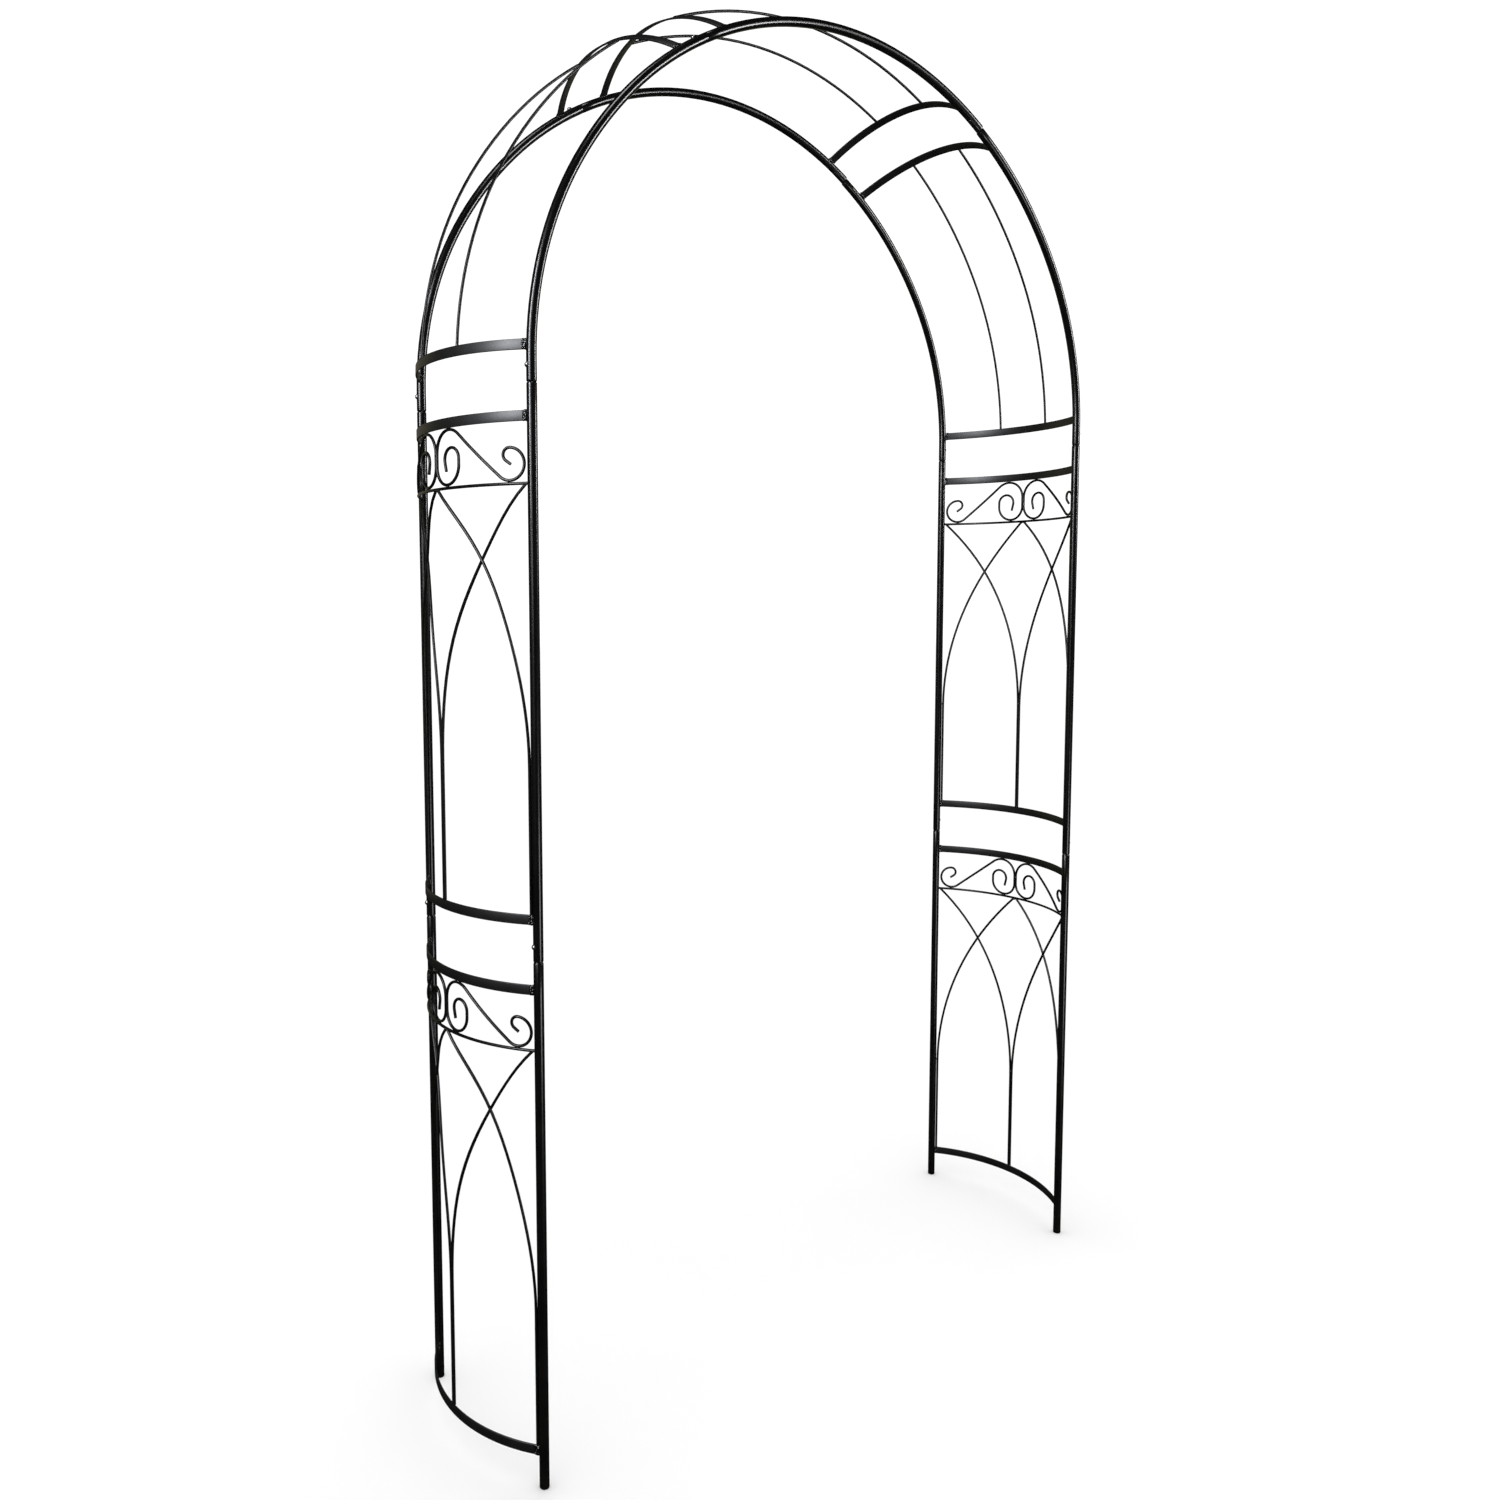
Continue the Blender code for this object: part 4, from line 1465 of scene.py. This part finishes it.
@dataclass
class SidePanel:
    """The welded infill between the legs: bands, rail, tracery and scrolls."""

    workshop: Workshop
    welds: WeldShop
    rods: RodShop
    band: Piece
    rail: Piece
    sizes: PanelSizes

    def build(self) -> None:
        """Models the panel once and sets it on both sides of the opening."""
        tracery = {Side.RIGHT: self.bend_tracery()}
        tracery[Side.LEFT] = copy_of(tracery[Side.RIGHT], "drawn_tracery", Matrix.Identity(4))
        self.draw_in(tracery[Side.LEFT])
        scrolls = self.bend_scrolls()
        for side in Side:
            frame = Matrix.Rotation(side.turn, 4, "Z")
            frame = frame @ Matrix.Translation((HOOP.half_span, 0.0, self.sizes.base))
            self.set_in(side, frame, tracery[side], scrolls)
        discard(*tracery.values(), scrolls)

    @staticmethod
    def draw_in(tracery: Piece) -> None:
        """Draws a bowed tracery in, between its middle and its ends.

        Args:
            tracery: The bowed tracery.
        """
        for vertex in tracery.data.vertices:
            across = min(abs(vertex.co.y) / BOW.half_width, 1.0)
            spare = BOW.depth(across * BOW.half_width) - BOW.rise * (1 - across)
            fade = (4 * across * (1 - across)) ** FLATNESS_FADE
            vertex.co.x -= LEFT_FLATNESS * fade * spare

    def bend_tracery(self) -> Piece:
        """Bends the four crossing rods.

        Returns:
            The rods as one piece, in the panel's frame.
        """
        edge = self.tracery_edge()
        runs = (
            (WELD_GAP, edge, ROD_LAYER),
            (-WELD_GAP, -edge, ROD_LAYER),
            (edge, WELD_GAP, -ROD_LAYER),
            (-edge, -WELD_GAP, -ROD_LAYER),
        )
        rods = [
            self.rods.tracery_rod(start, end, self.sizes.tracery, TRACERY_DROP, layer)
            for start, end, layer in runs
        ]
        tracery = join("tracery_pattern", rods)
        bow_out(tracery)
        return tracery

    @staticmethod
    def tracery_edge() -> float:
        """Where the outer rods stand, along the bow."""
        return BOW.half_arc - STOCK.tube_radius - STOCK.rod_radius - STOCK.fit_gap

    def bend_scrolls(self) -> Piece:
        """Bends a scroll and its mirrored twin.

        Returns:
            Both as one piece, in the panel's frame.
        """
        top = self.sizes.tracery + self.sizes.scroll
        scroll = SCROLL.bend_up(self.rods, self.sizes.tracery, top)
        twin = copy_of(scroll, "scroll_twin", Matrix.Identity(4))
        shape(twin)
        bpy.ops.transform.resize(value=(-1.0, 1.0, 1.0), center_override=(0.0, 0.0, 0.0))
        bpy.ops.mesh.normals_make_consistent(inside=False)
        leave()
        pair = join("scroll_pattern", [scroll, twin])
        bow_out(pair)
        return pair

    def set_in(
        self, side: Side, frame: Matrix, tracery: Piece, scrolls: Piece
    ) -> None:
        """Sets the panel's pieces and welds between the legs on one side.

        Args:
            side: The side of the opening.
            frame: The panel's frame.
            tracery: The modelled tracery.
            scrolls: The modelled scrolls.
        """
        stem = f"{side.label}_{self.sizes.level}_panel"
        rail_at = frame @ Matrix.Translation((0.0, 0.0, self.sizes.tracery))
        top_at = rail_at @ Matrix.Translation((0.0, 0.0, self.sizes.scroll))
        rows = (
            (self.band, "bottom_band", frame, Metal.STRAP),
            (self.band, "top_band", top_at, Metal.STRAP),
            (self.rail, "rail", rail_at, Metal.ROD),
            (tracery, "tracery", frame, Metal.ROD),
            (scrolls, "scrolls", frame, Metal.ROD),
        )
        for pattern, label, where, metal in rows:
            self.workshop.place(pattern, f"{stem}_{label}", where, metal)
        self.welds.strap_ends(stem, frame)
        self.welds.strap_ends(stem, top_at)
        self.weld_rods(stem, frame)

    def weld_rods(self, stem: str, frame: Matrix) -> None:
        """Lays the small welds of the rail, tracery and scrolls.

        Args:
            stem: The panel's name.
            frame: The panel's frame.
        """
        rail = self.sizes.tracery
        above, below = rail + 2.4 * MM, rail - 2.2 * MM
        top = rail + self.sizes.scroll - STOCK.strap_width / 2
        clear = self.sizes.scroll - STOCK.strap_width / 2 - 3 * STOCK.rod_radius
        edge = self.tracery_edge()
        foot = STOCK.strap_width / 2 + WELD_SIT
        bend = rail - TRACERY_DROP
        reach = BOW.half_arc - STOCK.tube_radius - WELD_SIT
        hook = reach - STOCK.rod_radius - SCROLL.side_gap - clear * SCROLL.hook_bend
        belly = SCROLL.pair_gap + clear * SCROLL.bottom_bend
        crest = SCROLL.pair_gap + clear * SCROLL.top_bend
        middle = rail + 2 * STOCK.rod_radius + clear * SCROLL.waist
        # Where the pairs meet in the middle, then what repeats on both sides.
        spots = [
            (0.0, below, Bead.PEAK),
            (0.0, foot, Bead.FEET),
            (0.0, bend + 10 * MM, Bead.SEAM),
            (0.0, middle + 7 * MM, Bead.CURL_HIGH),
            (0.0, middle - 6 * MM, Bead.CURL_LOW),
        ]
        for side in (-1.0, 1.0):
            spots += [
                (side * reach, rail, Bead.RAIL_END),
                (side * edge, foot, Bead.FOOT),
                (side * (edge + 2.2 * MM), bend + 4 * MM, Bead.EDGE),
                (side * (edge - 3 * MM), below, Bead.RAIL_UNDER),
                (side * hook, above, Bead.RAIL_TOP),
                (side * belly, above, Bead.RAIL_TOP),
                (side * crest, top - 0.4 * MM, Bead.CREST),
            ]
        for arc, height, bead in spots:
            self.welds.lay_on_bow(stem, frame, (arc, height, -WELD_SIT), bead)


@dataclass
class TopSection:
    """The bands and rods over one part of the arch."""

    workshop: Workshop
    welds: WeldShop
    rods: RodShop
    band: Piece
    name: str
    bands: tuple[tuple[str, float], tuple[str, float]]

    def band_frame(self, angle: float) -> Matrix:
        """The frame of a band at an angle from the hoop's top."""
        turn = Matrix.Rotation(angle - QUARTER_TURN, 4, "Y")
        return Matrix.Translation(HOOP.point(angle)) @ turn

    def edge(self, angle: float, toward: float) -> float:
        """The angle at a band's edge, where a rod butts against it.

        Args:
            angle: The band's angle.
            toward: The side of the band that the rod is on.

        Returns:
            The angle from the hoop's top.
        """
        crown = abs(angle) <= HOOP.crown_start
        bend = HOOP.crown_radius if crown else HOOP.haunch_radius
        reach = (STOCK.strap_width / 2 - EDGE_BITE) / (bend + BOW.depth(TOP_ROD_REACH))
        return angle + math.copysign(reach, toward)

    def build(self) -> None:
        """Sets the bands, bends the two rods between them and welds all."""
        for label, angle in self.bands:
            frame = self.band_frame(angle)
            self.workshop.place(self.band, f"{self.name}_{label}", frame, Metal.STRAP)
            self.welds.strap_ends(self.name, frame)
        first, last = self.bands[0][1], self.bands[1][1]
        high, low = max(first, last), min(first, last)
        span = (self.edge(high, -1.0), self.edge(low, 1.0))
        left = high < 0
        if left:
            span = (-span[1], -span[0])
        for row in Row:
            name = f"{self.name}_{row.label}_rod"
            rod = self.rods.top_rod(name, span)
            side = row.value * TOP_ROD_REACH
            turn = Matrix.Rotation(math.pi if left else 0.0, 4, "Z")
            rod.matrix_world = Matrix.Translation((0.0, side, 0.0)) @ turn
            settle(rod)
            self.workshop.hand_over(rod, Metal.ROD, name)
            for angle, toward in ((high, -1.0), (low, 1.0)):
                self.weld_rod_end(angle, toward, side)

    def weld_rod_end(self, angle: float, toward: float, side: float) -> None:
        """Lays the weld where a rod butts against a band's edge.

        Args:
            angle: The band's angle.
            toward: The side of the band that the rod is on.
            side: The rod's Y.
        """
        place = self.edge(angle, toward)
        point = HOOP.point(place, BOW.depth(TOP_ROD_REACH)) + Vector((0.0, side, 0.0))
        frame = Matrix.Translation(point) @ Matrix.Rotation(place - QUARTER_TURN, 4, "Y")
        self.welds.lay(self.name, frame, Bead.ROD_END)


# ---- studio


@dataclass(frozen=True)
class Softbox:
    """One soft area light."""

    name: str
    place: Triple
    aim: Triple
    width: float
    height: float
    radiance: float
    tint: str = "#ffffff"

    def hang(self) -> None:
        """Hangs the light, its power worked out from its radiance and area."""
        lamp = bpy.data.lights.new(self.name, "AREA")
        lamp.shape = "RECTANGLE"
        lamp.size = self.width
        lamp.size_y = self.height
        lamp.energy = self.radiance * math.pi * self.width * self.height
        lamp.color = linear(self.tint)[:3]
        fixture = bpy.data.objects.new(self.name, lamp)
        bpy.context.scene.collection.objects.link(fixture)
        fixture.location = self.place
        aim = Vector(self.aim) - Vector(self.place)
        fixture.rotation_euler = aim.to_track_quat("-Z", "Y").to_euler()
        fixture.visible_camera = False
        fixture.visible_diffuse = False


@dataclass
class Studio:
    """The camera, floor, sky and lights."""

    eye: Triple = (-1.66347, -1.79897, 1.41319)
    yaw: float = 0.63762
    pitch: float = -0.084406
    roll: float = -0.004316
    lens: float = 30.035
    shift: tuple[float, float] = (0.0693, -0.0294)
    sensor: float = 36.0
    far: float = 200.0
    floor_size: float = 60.0
    floor_cuts: int = 8
    sky: tuple[float, str] = (1.12, "#ffffff")
    mirrored_sky: tuple[float, str] = (0.012, "#fffaf2")
    softboxes: tuple[Softbox, ...] = (
        # The bright strip down the outer edge of the left legs and shoulders.
        Softbox("left_strip", (-4.6, -0.6, 3.4), (-0.6, 0.0, 2.8), 0.55, 2.8, 48.0, "#f6f9ff"),
        # The grey sheen on the front half of the left bands.
        Softbox("left_fill", (-4.1, -2.0, 3.0), (-0.7, -0.1, 2.2), 0.8, 3.4, 5.0, "#eef3fa"),
        # The short highlight round the lower joints.
        Softbox("low_front_box", (0.35, -3.05, 0.05), (-0.5, 0.0, 0.7), 1.0, 0.95, 6.5),
        # The thin line along both crowns, bright towards the left shoulder.
        Softbox("right_front_box", (2.35, -2.1, 2.4), (0.0, 0.0, 2.4), 0.36, 1.2, 36.0),
        # A warm wash over the rear half of the left bands.
        Softbox("right_wash", (4.4, 3.0, 1.8), (-0.5, 0.0, 1.6), 1.8, 3.4, 0.4, "#efe6c6"),
        Softbox("back_wash", (-0.6, 5.2, 1.9), (-0.6, 0.0, 1.7), 4.4, 3.6, 0.38, "#e6e0bb"),
        # A faint light from above on the crowns and the bands between them.
        Softbox("top_box", (-0.9, -0.9, 5.2), (0.0, 0.0, 1.4), 0.9, 0.9, 9.0),
    )

    def set_camera(self) -> None:
        """Stands the camera at the front left of the arch, at chest height."""
        lens = bpy.data.cameras.new("camera")
        lens.lens = self.lens
        lens.sensor_width = self.sensor
        lens.shift_x, lens.shift_y = self.shift
        lens.clip_end = self.far
        camera = bpy.data.objects.new("camera", lens)
        bpy.context.scene.collection.objects.link(camera)
        turn = Matrix.Rotation(-self.yaw, 4, "Z")
        tilt = Matrix.Rotation(QUARTER_TURN + self.pitch, 4, "X")
        bank = Matrix.Rotation(self.roll, 4, "Z")
        camera.matrix_world = Matrix.Translation(self.eye) @ turn @ tilt @ bank
        bpy.context.scene.camera = camera

    def lay_floor(self) -> None:
        """Lays the wide, pale, flat floor."""
        bpy.ops.object.select_all(action="DESELECT")
        bpy.ops.mesh.primitive_grid_add(
            x_subdivisions=self.floor_cuts,
            y_subdivisions=self.floor_cuts,
            size=self.floor_size,
        )
        floor = bpy.context.object
        floor.name = "studio_floor"
        floor.data.materials.append(StudioPaint().make())
        # The black coat mirrors the lights alone, and the low ones pass the floor.
        floor.visible_glossy = False
        floor.visible_shadow = False

    def light(self) -> None:
        """Makes the bright sky and hangs the softboxes."""
        world = bpy.data.worlds.new("studio_sky")
        world.use_nodes = True
        tree = world.node_tree
        tree.nodes.clear()
        path = add_node(tree, "ShaderNodeLightPath")
        bright, dim = (
            add_node(
                tree,
                "ShaderNodeBackground",
                values={"Strength": strength, "Color": linear(code)},
            ).outputs["Background"]
            for strength, code in (self.sky, self.mirrored_sky)
        )
        sky = add_node(
            tree,
            "ShaderNodeMixShader",
            links={
                0: path.outputs["Is Glossy Ray"],
                1: bright,
                2: dim,
            },
        )
        add_node(tree, "ShaderNodeOutputWorld", links={"Surface": sky.outputs["Shader"]})
        bpy.context.scene.world = world
        for softbox in self.softboxes:
            softbox.hang()

    def build(self) -> None:
        """Sets up the whole studio."""
        self.set_camera()
        self.lay_floor()
        self.light()
        bpy.context.scene.view_settings.view_transform = "Standard"


# ---- assembly

# The bands over the top, with their angles from the hoop's top.
TOP_BANDS = {
    "left_haunch": (("foot_band", math.radians(-88.0)), ("head_band", math.radians(-34.0))),
    "right_haunch": (("foot_band", math.radians(88.0)), ("head_band", math.radians(34.0))),
    "crown": (("left_band", math.radians(-25.0)), ("right_band", math.radians(25.0))),
}


def build_infill(workshop: Workshop) -> None:
    """Models the bands, rails, rods and welds between the hoops.

    Args:
        workshop: The finishes.
    """
    welds = WeldShop(workshop)
    welds.melt()
    rods = RodShop()
    band = StrapShop().band()
    rail = rods.rail()
    for sizes in PANELS:
        SidePanel(workshop, welds, rods, band, rail, sizes).build()
    for name, bands in TOP_BANDS.items():
        TopSection(workshop, welds, rods, band, name, bands).build()
    welds.gather()
    discard(band, rail)


def main() -> None:
    """Loads the frame and builds the looks round it."""
    logging.basicConfig(level=logging.INFO, format="%(message)s")
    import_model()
    workshop = Workshop()
    workshop.mix_finishes()
    Hoops(workshop).build()
    build_infill(workshop)
    Studio().build()
    bpy.ops.object.select_all(action="DESELECT")


if __name__ == "__main__":
    main()
